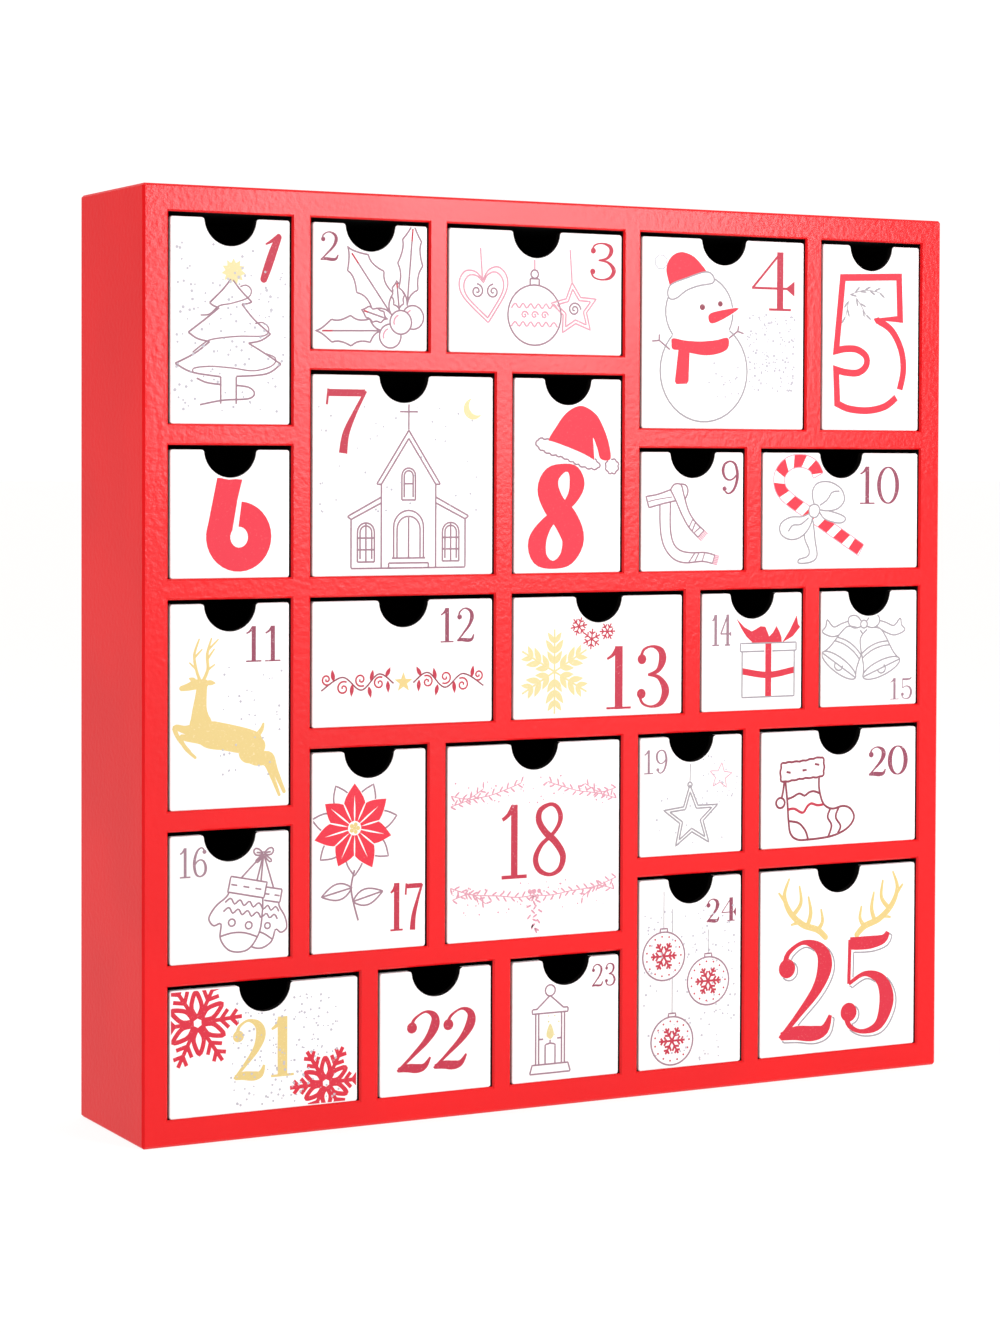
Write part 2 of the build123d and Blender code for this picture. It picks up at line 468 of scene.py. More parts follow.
def end_tree(tree: Tree, geometry: Node, finish: Socket) -> None:
    """Realise the copies, give them their finish and close the tree.

    Args:
        tree: The tree to close.
        geometry: What the tree made.
        finish: The material input.
    """
    real = add_node(tree, "GeometryNodeRealizeInstances", {"Geometry": geometry})
    dressed = add_node(tree, "GeometryNodeSetMaterial", {"Geometry": real, "Material": finish})
    add_node(tree, "NodeGroupOutput", {"Geometry": dressed})


def bead(tree: Tree, sizes: bpy.types.NodeOutputs) -> Node:
    """Sweep a low half-round bead of ink along the curves that come in.

    Args:
        tree: The tree that sweeps.
        sizes: Its inputs, with Width, Height and Spacing.

    Returns:
        The swept mesh.
    """
    evenly = {"Curve": sizes["Geometry"], "Length": sizes["Spacing"]}
    path = add_node(tree, "GeometryNodeResampleCurve", evenly, mode="LENGTH")
    path = add_node(tree, "GeometryNodeSetCurveNormal", {"Curve": path}, mode="Z_UP")
    half = {"Resolution": BEAD_POINTS, "Radius": 1.0, "Start Angle": math.pi, "Sweep Angle": math.pi}
    half = add_node(tree, "GeometryNodeCurveArc", {**half, "Connect Center": True}, mode="RADIUS")
    reach = add_node(tree, "ShaderNodeMath", {0: sizes["Width"], 1: 0.5}, operation="MULTIPLY")
    size = add_node(tree, "ShaderNodeCombineXYZ", {"X": reach, "Y": sizes["Height"], "Z": 1.0})
    half = add_node(tree, "GeometryNodeTransform", {"Geometry": half, "Scale": size})
    swept = {"Curve": path, "Profile Curve": half, "Fill Caps": True}
    return add_node(tree, "GeometryNodeCurveToMesh", swept)


@cache
def line_tree() -> Tree:
    """Tree that draws curves as lines of ink, once or as the arms of a snowflake round its centre.

    Returns:
        The tree, made once.
    """
    sizes = {"Width": "Float", "Height": "Float", "Spacing": "Float", "Arms": "Int", "Centre": "Vector"}
    tree, given = start_tree("ink_lines", {**sizes, "Turn": "Float", "Ink": "Material"})
    spots = add_node(tree, "GeometryNodePoints", {"Count": given["Arms"], "Position": given["Centre"]})
    step = add_node(tree, "ShaderNodeMath", {0: math.tau, 1: given["Arms"]}, operation="DIVIDE")
    order = add_node(tree, "GeometryNodeInputIndex")
    angle = add_node(tree, "ShaderNodeMath", {0: order, 1: step, 2: given["Turn"]}, operation="MULTIPLY_ADD")
    angle = add_node(tree, "ShaderNodeCombineXYZ", {"Z": angle})
    arms = {"Points": spots, "Instance": bead(tree, given), "Rotation": angle}
    end_tree(tree, add_node(tree, "GeometryNodeInstanceOnPoints", arms), given["Ink"])
    return tree


def dot(tree: Tree, length: Size, width: Size, height: Size, start: Size) -> Node:
    """Make one flat dot of ink that stands on the board.

    Args:
        tree: The tree that makes it.
        length: Half its size along X.
        width: Half its size along Y.
        height: Its thickness.
        start: Where its middle lies along X.

    Returns:
        The dot's mesh.
    """
    plate = add_node(tree, "GeometryNodeMeshCylinder", {"Vertices": DOT_SIDES, "Radius": 1.0, "Depth": 1.0})
    size = add_node(tree, "ShaderNodeCombineXYZ", {"X": length, "Y": width, "Z": height})
    lift = add_node(tree, "ShaderNodeMath", {0: height, 1: 0.5}, operation="MULTIPLY")
    shift = add_node(tree, "ShaderNodeCombineXYZ", {"X": start, "Z": lift})
    return add_node(tree, "GeometryNodeTransform", {"Geometry": plate, "Translation": shift, "Scale": size})


@cache
def speck_tree() -> Tree:
    """Tree that scatters specks of ink over a flat region.

    Returns:
        The tree, made once.
    """
    sizes = {"Density": "Float", "Smallest": "Float", "Largest": "Float", "Height": "Float", "Seed": "Int"}
    tree, given = start_tree("ink_specks", {**sizes, "Ink": "Material"})
    spread = {"Mesh": given["Geometry"], "Density": given["Density"], "Seed": given["Seed"]}
    spots = add_node(tree, "GeometryNodeDistributePointsOnFaces", spread)
    size = {2: given["Smallest"], 3: given["Largest"], "Seed": given["Seed"]}
    size = add_node(tree, "FunctionNodeRandomValue", size, data_type="FLOAT")
    thick = {**THICKNESS_SPREAD, "Seed": given["Seed"]}
    thick = add_node(tree, "FunctionNodeRandomValue", thick, data_type="FLOAT")
    size = add_node(tree, "ShaderNodeCombineXYZ", {"X": size, "Y": size, "Z": thick})
    specks = {"Points": spots, "Instance": dot(tree, 1.0, 1.0, given["Height"], 0.0), "Scale": size}
    end_tree(tree, add_node(tree, "GeometryNodeInstanceOnPoints", specks), given["Ink"])
    return tree


@cache
def sprig_tree() -> Tree:
    """Tree that sets leaves along a stem, left and right in turn.

    Returns:
        The tree, made once.
    """
    sizes = {"Spacing": "Float", "Length": "Float", "Width": "Float", "Height": "Float", "Angle": "Float"}
    tree, given = start_tree("ink_sprig", {**sizes, "Seed": "Int", "Ink": "Material"})
    evenly = {"Curve": given["Geometry"], "Length": given["Spacing"]}
    stem = add_node(tree, "GeometryNodeCurveToPoints", evenly, mode="LENGTH")
    along = add_node(tree, "FunctionNodeAlignRotationToVector", {"Vector": stem.outputs["Tangent"]}, axis="X")
    order = add_node(tree, "GeometryNodeInputIndex")
    side = add_node(tree, "ShaderNodeMath", {0: order, 1: 2.0}, operation="MODULO")
    side = add_node(tree, "ShaderNodeMath", {0: side, 1: 2.0, 2: -1.0}, operation="MULTIPLY_ADD")
    spreads = ({**spread, "Seed": given["Seed"]} for spread in (LEAN_SPREAD, THICKNESS_SPREAD))
    lean, thick = (add_node(tree, "FunctionNodeRandomValue", spread, data_type="FLOAT") for spread in spreads)
    turn = add_node(tree, "ShaderNodeMath", {0: given["Angle"], 1: lean}, operation="MULTIPLY")
    turn = add_node(tree, "ShaderNodeMath", {0: turn, 1: side}, operation="MULTIPLY")
    turn = add_node(tree, "ShaderNodeCombineXYZ", {"Z": turn})
    turned = {"Rotation": along, "Rotate By": turn}
    turned = add_node(tree, "FunctionNodeRotateRotation", turned, rotation_space="LOCAL")
    half, narrow = (
        add_node(tree, "ShaderNodeMath", {0: given[name], 1: 0.5}, operation="MULTIPLY")
        for name in ("Length", "Width")
    )
    size = add_node(tree, "ShaderNodeCombineXYZ", {"X": 1.0, "Y": 1.0, "Z": thick})
    leaves = {"Points": stem, "Instance": dot(tree, half, narrow, given["Height"], half)}
    leaves = {**leaves, "Rotation": turned, "Scale": size}
    end_tree(tree, add_node(tree, "GeometryNodeInstanceOnPoints", leaves), given["Ink"])
    return tree


@cache
def pin_tree() -> Tree:
    """Tree that sets round-headed pins along a path, with their heads on the path.

    Returns:
        The tree, made once.
    """
    sizes = {"Count": "Int", "Radius": "Float", "Height": "Float", "Steel": "Material"}
    tree, given = start_tree("panel_pins", sizes)
    spots = {"Curve": given["Geometry"], "Count": given["Count"]}
    spots = add_node(tree, "GeometryNodeCurveToPoints", spots, mode="COUNT")
    head = add_node(tree, "GeometryNodeMeshUVSphere", {"Segments": 16, "Rings": 8, "Radius": 1.0})
    size = {"X": given["Radius"], "Y": given["Height"], "Z": given["Radius"]}
    size = add_node(tree, "ShaderNodeCombineXYZ", size)
    heads = {"Points": spots, "Instance": head, "Scale": size}
    end_tree(tree, add_node(tree, "GeometryNodeInstanceOnPoints", heads), given["Steel"])
    return tree


def grow(tree: Tree, source: bpy.types.ID, **values: object) -> bpy.types.Mesh:
    """Run a geometry tree once and keep its result as a plain mesh.

    Args:
        tree: The tree.
        source: Curve or mesh that the tree works on.
        values: The tree's inputs by name.

    Returns:
        The mesh that the tree made.
    """
    holder = add_object(tree.name, source)
    modifier = holder.modifiers.new(tree.name, "NODES")
    modifier.node_group = tree
    for item in tree.interface.items_tree:
        if item.in_out == "INPUT" and item.name in values:
            modifier[item.identifier] = values[item.name]
    graph = bpy.context.evaluated_depsgraph_get()
    mesh = bpy.data.meshes.new_from_object(holder.evaluated_get(graph), depsgraph=graph)
    holder.modifiers.remove(modifier)
    bpy.data.objects.remove(holder)
    return mesh


# Lines and outlines, in millimetres on a drawer front


# Points closer than this count as one
TOUCH_MM = 1e-5
# Points round a circle, how many more it gets with the root of its radius, and the fewest of an arc
CIRCLE_POINTS = 12
CIRCLE_GROWTH = 6
ARC_FEWEST = 6


def smooth(points: Iterable[Point], closed: bool = False, step: float = 0.9) -> Outline:
    """Follow a smooth line through points, with any further values carried along.

    Args:
        points: Points to pass through.
        closed: Whether the line comes back to its first point.
        step: Largest distance between the points given back.

    Returns:
        Points along the line.
    """
    knots = list(points)
    count = len(knots)
    line = []
    for i in range(count if closed else count - 1):
        near = [i + k if closed else min(max(i + k, 0), count - 1) for k in (-1, 0, 1, 2)]
        before, start, end, after = (knots[k % count] for k in near)
        parts = max(3, math.ceil(math.dist(start[:2], end[:2]) / step))
        for t in (part / parts for part in range(parts)):
            line.append(tuple(
                0.5 * (2 * b + (c - a) * t + (2 * a - 5 * b + 4 * c - d) * t**2
                       + (3 * b - a - 3 * c + d) * t**3)
                for a, b, c, d in zip(before, start, end, after)
            ))
    return line if closed else [*line, knots[-1]]


def blob(*points: Point) -> Outline:
    """Closed smooth outline through points."""
    return smooth(points, closed=True)


def dense(points: Outline, closed: bool, step: float = 0.5) -> Outline:
    """Add points along the straight runs of a line.

    Args:
        points: The line.
        closed: Whether it is closed.
        step: Largest distance between the points given back.

    Returns:
        Points along the line.
    """
    ends = [*points, points[0]] if closed else points
    line = []
    for start, end in zip(ends, ends[1:]):
        parts = max(1, math.ceil(math.dist(start, end) / step))
        line += [tuple(a + (b - a) * k / parts for a, b in zip(start, end)) for k in range(parts)]
    return line if closed else [*line, points[-1]]


def arc(centre: Point, radius: float, start: float = 0, end: float = 360, squash: float = 1.0) -> Outline:
    """Points of a circular or squashed arc.

    Args:
        centre: Middle of the circle.
        radius: Radius across.
        start: First angle in degrees, from the right and anticlockwise.
        end: Last angle. A full turn leaves out the point that repeats.
        squash: Height of the circle over its width.

    Returns:
        Points along the arc.
    """
    whole = CIRCLE_POINTS + CIRCLE_GROWTH * radius**0.5
    parts = max(ARC_FEWEST, math.ceil(abs(end - start) / 360 * whole))
    last = parts if abs(end - start) >= 360 else parts + 1
    angles = [math.radians(start + (end - start) * k / parts) for k in range(last)]
    return [(centre[0] + radius * math.cos(a), centre[1] + radius * squash * math.sin(a)) for a in angles]


def place(
    points: Iterable[Point], at: Point, size: float = 1.0, turn: float = 0.0, flip: bool = False
) -> Outline:
    """Move a shape drawn round its own origin to its place.

    Args:
        points: Points of the shape.
        at: Where its origin goes.
        size: Scale of the shape.
        turn: Turn in degrees, anticlockwise.
        flip: Whether it is mirrored left to right first.

    Returns:
        The placed points.
    """
    cos, sin = math.cos(math.radians(turn)), math.sin(math.radians(turn))
    sign = -1 if flip else 1
    return [
        (at[0] + size * (sign * x * cos - y * sin), at[1] + size * (sign * x * sin + y * cos))
        for x, y in points
    ]


def inside(point: Point, outline: Outline) -> bool:
    """Whether a point lies inside a closed outline.

    Args:
        point: The point.
        outline: The outline.

    Returns:
        True inside it.
    """
    x, y = point[:2]
    crossings = 0
    for (x0, y0), (x1, y1) in zip(outline, [*outline[1:], outline[0]]):
        if (y0 > y) != (y1 > y) and x < x0 + (x1 - x0) * (y - y0) / (y1 - y0):
            crossings += 1
    return crossings % 2 == 1


def uncovered(points: Outline, closed: bool, covers: list[Outline]) -> list[tuple[Outline, bool]]:
    """Runs of a line that no cover hides.

    Args:
        points: The line.
        closed: Whether it is closed.
        covers: Outlines that lie over it.

    Returns:
        The runs left, each with whether it is closed.
    """
    points = dense(points, closed)
    shown = [not any(inside(point, cover) for cover in covers) for point in points]
    if all(shown):
        return [(points, closed)]
    first = shown.index(False) if closed else 0
    runs: list[Outline] = [[]]
    for i in range(len(points)):
        at = (first + i) % len(points)
        if shown[at]:
            runs[-1].append(points[at])
        elif runs[-1]:
            runs.append([])
    return [(run, False) for run in runs if len(run) > 1]


def brush(points: Outline, closed: bool = False) -> list[Outline]:
    """Area under a brush of changing width, as overlapping convex pieces.

    Args:
        points: Centre line with the brush's full width as third value.
        closed: Whether the line is closed.

    Returns:
        Convex outlines that cover the stroke.
    """
    count = len(points)
    rims = []
    for i, (x, y, width) in enumerate(points):
        x0, y0, _ = points[(i - 1) % count if closed else max(i - 1, 0)]
        x1, y1, _ = points[(i + 1) % count if closed else min(i + 1, count - 1)]
        long = math.hypot(x1 - x0, y1 - y0) or 1.0
        nx, ny = (y0 - y1) / long * width / 2, (x1 - x0) / long * width / 2
        rims.append([(x + nx, y + ny), (x - nx, y - ny)])
    pairs = list(zip(rims, [*rims[1:], rims[0]] if closed else rims[1:]))
    return [hull(first + second) for first, second in pairs]


def hull(points: Outline) -> Outline:
    """Convex outline round points."""
    return [points[i] for i in convex_hull_2d([Vector(point) for point in points])]


def anticlockwise(outline: Outline) -> Outline:
    """Turn a closed outline round where it runs clockwise.

    Args:
        outline: The outline.

    Returns:
        The same outline, anticlockwise.
    """
    pairs = zip(outline, [*outline[1:], outline[0]])
    area = sum(x0 * y1 - x1 * y0 for (x0, y0), (x1, y1) in pairs)
    return outline if area > 0 else outline[::-1]


@dataclass
class Film:
    """A flat printed area: the union of outlines, less what is cut out of it."""

    triangles: list[tuple[int, ...]]
    points: list[Vector]

    @classmethod
    def of(cls, outlines: list[Outline], cuts: list[Outline]) -> "Film":
        """Join outlines into one area without overlaps.

        Args:
            outlines: Closed outlines, which may overlap.
            cuts: Closed outlines to leave out.

        Returns:
            The joined film.
        """
        points, faces = [], []
        for outline in [*outlines, *cuts]:
            faces.append(list(range(len(points), len(points) + len(outline))))
            points += [Vector(point) for point in anticlockwise(outline)]
        merged = delaunay_2d_cdt(points, [], faces, 1, TOUCH_MM)
        last = len(outlines)
        kept = [
            tuple(face) for face, source in zip(merged[2], merged[5])
            if any(i < last for i in source) and not any(i >= last for i in source)
        ]
        return cls(kept, list(merged[0]))

    def rims(self) -> list[tuple[int, int]]:
        """Edges round the film, in the direction of their triangles."""
        edges = {(a, b) for face in self.triangles for a, b in zip(face, face[1:] + face[:1])}
        return [(a, b) for a, b in edges if (b, a) not in edges]

    def loops(self) -> list[Outline]:
        """Follow the edges round the film.

        Returns:
            Its closed outlines.
        """
        follows = dict(self.rims())
        loops = []
        while follows:
            start, at = follows.popitem()
            loop = [start]
            while at in follows:
                loop.append(at)
                at = follows.pop(at)
            loops.append([tuple(self.points[i]) for i in loop])
        return loops

    def solid(self, thickness: float) -> bpy.types.Mesh:
        """Give the film its thickness.

        Args:
            thickness: Height of its face over the board.

        Returns:
            A closed mesh.
        """
        used = sorted({i for face in self.triangles for i in face})
        index = {old: new for new, old in enumerate(used)}
        count = len(used)
        places = [(*self.points[i], height) for height in (thickness, 0.0) for i in used]
        top = [tuple(index[i] for i in face) for face in self.triangles]
        base = [tuple(i + count for i in reversed(face)) for face in top]
        sides = [(index[b], index[a], index[a] + count, index[b] + count) for a, b in self.rims()]
        mesh = bpy.data.meshes.new("film")
        mesh.from_pydata(places, [], [*top, *base, *sides])
        return mesh


# Numerals


@dataclass(frozen=True)
class Glyph:
    """Skeleton of a numeral one unit high.

    Points are x, y and weight, from 0 for a hairline to 1 for a stem. Balls are x and y.
    """

    width: float
    curves: tuple[tuple[Point, ...], ...] = ()
    bars: tuple[tuple[Point, ...], ...] = ()
    rings: tuple[tuple[Point, ...], ...] = ()
    balls: tuple[Point, ...] = ()
    serifs: tuple[tuple[Point, ...], ...] = ()

    def upside_down(self) -> "Glyph":
        """Turn the numeral by half a turn.

        Returns:
            The turned numeral.
        """
        curves, bars, rings, (balls,) = (
            tuple(tuple((self.width - x, 1 - y, *rest) for x, y, *rest in line) for line in lines)
            for lines in (self.curves, self.bars, self.rings, (self.balls,))
        )
        return Glyph(self.width, curves, bars, rings, balls)


OVAL = tuple(
    (0.29 + 0.25 * math.cos(a), 0.5 + 0.48 * math.sin(a), abs(math.cos(a)) ** 1.3)
    for a in (math.tau * k / 16 for k in range(16))
)
SIX = Glyph(
    0.58,
    curves=((
        (0.46, 0.86, 0.2), (0.40, 0.95, 0.1), (0.31, 0.98, 0.05), (0.17, 0.86, 0.55), (0.08, 0.60, 0.95),
        (0.07, 0.34, 1.0), (0.14, 0.10, 0.6), (0.29, 0.02, 0.05), (0.45, 0.11, 0.65), (0.50, 0.30, 1.0),
        (0.44, 0.50, 0.55), (0.31, 0.58, 0.05), (0.18, 0.53, 0.05), (0.09, 0.42, 0.1),
    ),),
    balls=((0.45, 0.84),),
)
GLYPHS = {
    "0": Glyph(0.58, rings=(OVAL,)),
    "1": Glyph(
        0.42,
        curves=(((0.03, 0.80, 0.0), (0.12, 0.86, 0.2), (0.20, 0.97, 0.5)),),
        bars=(((0.22, 0.0, 1.0), (0.22, 1.0, 1.0)),),
        serifs=(((0.02, 0.02, 0.0), (0.42, 0.02, 0.0)),),
    ),
    "2": Glyph(
        0.58,
        curves=(
            (
                (0.09, 0.73, 0.3), (0.12, 0.88, 0.1), (0.28, 0.98, 0.05), (0.45, 0.90, 0.65),
                (0.50, 0.73, 1.0), (0.42, 0.50, 0.6), (0.22, 0.24, 0.2), (0.04, 0.03, 0.05),
            ),
            ((0.05, 0.05, 0.3), (0.20, 0.07, 0.75), (0.38, 0.05, 0.85), (0.50, 0.08, 0.5), (0.56, 0.22, 0.0)),
        ),
        balls=((0.11, 0.73),),
    ),
    "3": Glyph(
        0.54,
        curves=(
            (
                (0.08, 0.79, 0.2), (0.13, 0.93, 0.1), (0.27, 0.98, 0.05), (0.41, 0.91, 0.7),
                (0.44, 0.76, 0.95), (0.36, 0.59, 0.4), (0.20, 0.53, 0.0),
            ),
            (
                (0.20, 0.53, 0.0), (0.38, 0.48, 0.35), (0.49, 0.28, 1.0), (0.42, 0.08, 0.55),
                (0.26, 0.02, 0.05), (0.11, 0.08, 0.1), (0.06, 0.22, 0.2),
            ),
        ),
        balls=((0.10, 0.78), (0.09, 0.23)),
    ),
    "4": Glyph(
        0.62,
        bars=(
            ((0.42, 0.0, 1.0), (0.42, 1.0, 1.0)),
            ((0.42, 0.98, 0.0), (0.02, 0.38, 0.0)),
            ((0.01, 0.38, 0.0), (0.62, 0.38, 0.0)),
            ((0.52, 0.38, 0.0), (0.63, 0.38, 2.6)),
        ),
        serifs=(((0.26, 0.02, 0.0), (0.58, 0.02, 0.0)),),
    ),
    "5": Glyph(
        0.54,
        curves=(
            (
                (0.09, 0.52, 0.0), (0.26, 0.61, 0.1), (0.43, 0.53, 0.65), (0.49, 0.32, 1.0),
                (0.41, 0.08, 0.5), (0.24, 0.02, 0.05), (0.10, 0.09, 0.1), (0.06, 0.22, 0.2),
            ),
            ((0.10, 0.93, 0.65), (0.30, 0.925, 0.7), (0.45, 0.95, 0.4), (0.50, 1.02, 0.05)),
        ),
        bars=(((0.10, 0.97, 0.0), (0.09, 0.52, 0.0)),),
        balls=((0.09, 0.23),),
    ),
    "6": SIX,
    "7": Glyph(
        0.56,
        curves=(((0.54, 0.95, 0.1), (0.39, 0.62, 0.35), (0.27, 0.30, 0.75), (0.23, 0.0, 1.0)),),
        bars=(((0.03, 0.92, 0.7), (0.53, 0.92, 0.7)),),
        serifs=(((0.03, 0.98, 0.0), (0.01, 0.74, 0.0)),),
    ),
    "8": Glyph(
        0.58,
        rings=((
            (0.29, 0.98, 0.05), (0.14, 0.91, 0.55), (0.11, 0.77, 0.85), (0.21, 0.61, 0.9), (0.38, 0.46, 1.0),
            (0.50, 0.27, 0.9), (0.45, 0.09, 0.5), (0.29, 0.02, 0.05), (0.12, 0.09, 0.5), (0.06, 0.25, 0.65),
            (0.15, 0.43, 0.3), (0.32, 0.56, 0.1), (0.43, 0.69, 0.3), (0.46, 0.82, 0.5), (0.40, 0.94, 0.3),
        ),),
    ),
    "9": SIX.upside_down(),
}


@dataclass(frozen=True)
class Face:
    """Weight of a set of numerals. Strokes are shares of the numeral's height."""

    hair: float
    stem: float
    slant: float = 0.0
    gap: float = 0.08
    ball_stem: float = 0.42
    ball_hair: float = 0.6
    steps: int = 24


class Lettering(Enum):
    """Sets of numerals on the fronts."""

    FINE = Face(0.05, 0.1)
    LIGHT = Face(0.04, 0.125)
    MODERN = Face(0.035, 0.14)
    DISPLAY = Face(0.04, 0.175)
    ITALIC = Face(0.035, 0.17, slant=0.26, gap=0.05)
    FAT = Face(0.07, 0.27, slant=0.16)


def numeral(text: str, box: Box, face: Face) -> list[Outline]:
    """Draw a number to fill a box.

    Args:
        text: The digits.
        box: Left, bottom, right and top of the number.
        face: Weight of the strokes.

    Returns:
        Convex outlines that cover the number.
    """
    left, bottom, right, top = box
    high = top - bottom
    hair, stem = face.hair * high, face.stem * high
    glyphs = [GLYPHS[digit] for digit in text]
    total = sum(glyph.width for glyph in glyphs) + face.gap * (len(glyphs) - 1) + face.slant
    wide = (right - left) / total
    step = high / face.steps

    def fit(line: Iterable[Point], start: float) -> Outline:
        """Fit a stroke into the box.

        Args:
            line: Points of the stroke with their weights.
            start: Left edge of its digit.

        Returns:
            The points with the stroke's widths.
        """
        return [
            (left + (start + x + face.slant * y) * wide, bottom + y * high, hair + (stem - hair) * weight)
            for x, y, weight in line
        ]

    pieces: list[Outline] = []
    start = 0.0
    for glyph in glyphs:
        for line in glyph.curves:
            pieces += brush(smooth(fit(line, start), step=step))
        for line in glyph.rings:
            pieces += brush(smooth(fit(line, start), closed=True, step=step), closed=True)
        for line in (*glyph.bars, *glyph.serifs):
            pieces += brush(fit(line, start))
        for x, y, _ in fit([(*ball, 0) for ball in glyph.balls], start):
            pieces.append(arc((x, y), face.ball_stem * stem + face.ball_hair * hair))
        start += glyph.width + face.gap
    return pieces


# Prints


@dataclass
class Print:
    """Ink on one drawer front, drawn in millimetres from the front's lower left corner."""

    width: float
    height: float
    notch_radius: float = 10.0
    line_width: float = 0.62
    line_height: float = 0.08
    line_step: float = 0.7
    flake_arms: int = 6
    flake_step: float = 0.6
    film: float = 0.05
    margin: float = 0.5
    parts: list[tuple[Ink, bpy.types.Mesh]] = field(default_factory=list)
    drawn: dict[tuple[Ink, float], list] = field(default_factory=lambda: defaultdict(list))

    @property
    def notch(self) -> Outline:
        """Outline of the finger notch and the bare rim round it."""
        return arc((self.width / 2, self.height), self.notch_radius)

    def line(
        self,
        ink: Ink,
        *lines: Iterable[Point],
        closed: bool = False,
        width: float | None = None,
        under: Iterable[Outline] = (),
    ) -> None:
        """Draw lines through points as they are.

        Args:
            ink: Their ink.
            lines: Points of each line.
            closed: Whether each comes back to its start.
            width: Their width, where it isn't the usual one.
            under: Outlines that hide what lies under them.
        """
        covers = [*under, self.notch]
        for points in lines:
            self.drawn[ink, width or self.line_width] += uncovered(list(points), closed, covers)

    def curve(self, ink: Ink, *lines: Iterable[Point], closed: bool = False, **style: object) -> None:
        """Draw smooth lines through points, with the arguments of line."""
        self.line(ink, *(smooth(points, closed) for points in lines), closed=closed, **style)

    def fill(self, ink: Ink, *outlines: Outline, cuts: Iterable[Outline] = ()) -> None:
        """Print an area.

        Args:
            ink: Its ink.
            outlines: Closed outlines, joined where they overlap.
            cuts: Outlines left bare.
        """
        film = Film.of(list(outlines), [*cuts, self.notch])
        self.parts.append((ink, film.solid(self.film)))

    def number(self, ink: Ink, text: str, box: Box, face: Lettering) -> None:
        """Print a number to fill a box."""
        self.fill(ink, *numeral(text, box, face.value))

    def add(self, ink: Ink, tree: Tree, source: bpy.types.ID, **sizes: object) -> None:
        """Print what a geometry tree makes of a curve or a mesh."""
        self.parts.append((ink, grow(tree, source, **sizes, Ink=ink.value.material())))

    def specks(self, ink: Ink, box: Box, count: int, seed: int, radii: Range) -> None:
        """Scatter specks over a box.

        Args:
            ink: Their ink.
            box: Left, bottom, right and top.
            count: About how many.
            seed: Seed of the scatter.
            radii: Smallest and largest radius.
        """
        left, bottom, right, top = box
        patch = Film.of([[(left, bottom), (right, bottom), (right, top), (left, top)]], [self.notch])
        region = bpy.data.meshes.new("region")
        region.from_pydata([(*point, 0) for point in patch.points], [], patch.triangles)
        sizes = {"Smallest": radii[0], "Largest": radii[1], "Height": self.film}
        density = count / ((right - left) * (top - bottom))
        self.add(ink, speck_tree(), region, **sizes, Density=density, Seed=seed)

    def flake(
        self,
        ink: Ink,
        centre: Point,
        arm: list[Outline],
        width: float,
        turn: float = 0.0,
        height: float | None = None,
    ) -> None:
        """Print a snowflake from one arm.

        Args:
            ink: Its ink.
            centre: Middle of the flake.
            arm: Lines of one arm, which points along X from the origin.
            width: Width of the lines.
            turn: Turn of the first arm in degrees.
            height: Height of the lines, where it isn't the usual one.
        """
        sizes = {"Width": width, "Height": height or self.line_height, "Spacing": self.flake_step}
        where = {"Arms": self.flake_arms, "Centre": (*centre, 0.0), "Turn": math.radians(turn)}
        self.add(ink, line_tree(), curve_data([(line, False) for line in arm]), **sizes, **where)

    def sprig(
        self, ink: Ink, stem: Iterable[Point], spacing: float, leaf: Range, seed: int, angle: float = 48.0
    ) -> None:
        """Print leaves along a smooth stem.

        Args:
            ink: Their ink.
            stem: Points that the stem passes through.
            spacing: Distance from leaf to leaf.
            leaf: Length and width of a leaf.
            seed: Seed of the leaves' lean.
            angle: Angle between leaf and stem in degrees.
        """
        sizes = {"Spacing": spacing, "Length": leaf[0], "Width": leaf[1], "Height": self.film}
        source = curve_data([(smooth(stem), False)])
        self.add(ink, sprig_tree(), source, **sizes, Seed=seed, Angle=math.radians(angle))

    def build(self, name: str, corner: Vector) -> bpy.types.Object:
        """Join the inks into one piece on the drawer front.

        Args:
            name: Name of the piece.
            corner: Lower left corner of the front's face, in metres.

        Returns:
            The print, in place.
        """
        for (ink, width), lines in self.drawn.items():
            sizes = {"Width": width, "Height": self.line_height, "Spacing": self.line_step}
            self.add(ink, line_tree(), curve_data(lines), **sizes, Arms=1)
        inks = list(dict.fromkeys(ink for ink, _ in self.parts))
        whole = bmesh.new()
        for ink, part in self.parts:
            known = len(whole.faces)
            whole.from_mesh(part)
            whole.faces.ensure_lookup_table()
            for face in whole.faces[known:]:
                face.material_index = inks.index(ink)
                face.smooth = False
            bpy.data.meshes.remove(part)
        self.trim(whole)
        upright = Matrix.Rotation(math.radians(90), 4, "X") @ Matrix.Scale(MM, 4)
        bmesh.ops.transform(whole, matrix=Matrix.Translation(corner) @ upright, verts=whole.verts)
        mesh = bpy.data.meshes.new(name)
        whole.to_mesh(mesh)
        whole.free()
        for ink in inks:
            mesh.materials.append(ink.value.material())
        return add_object(name, mesh)

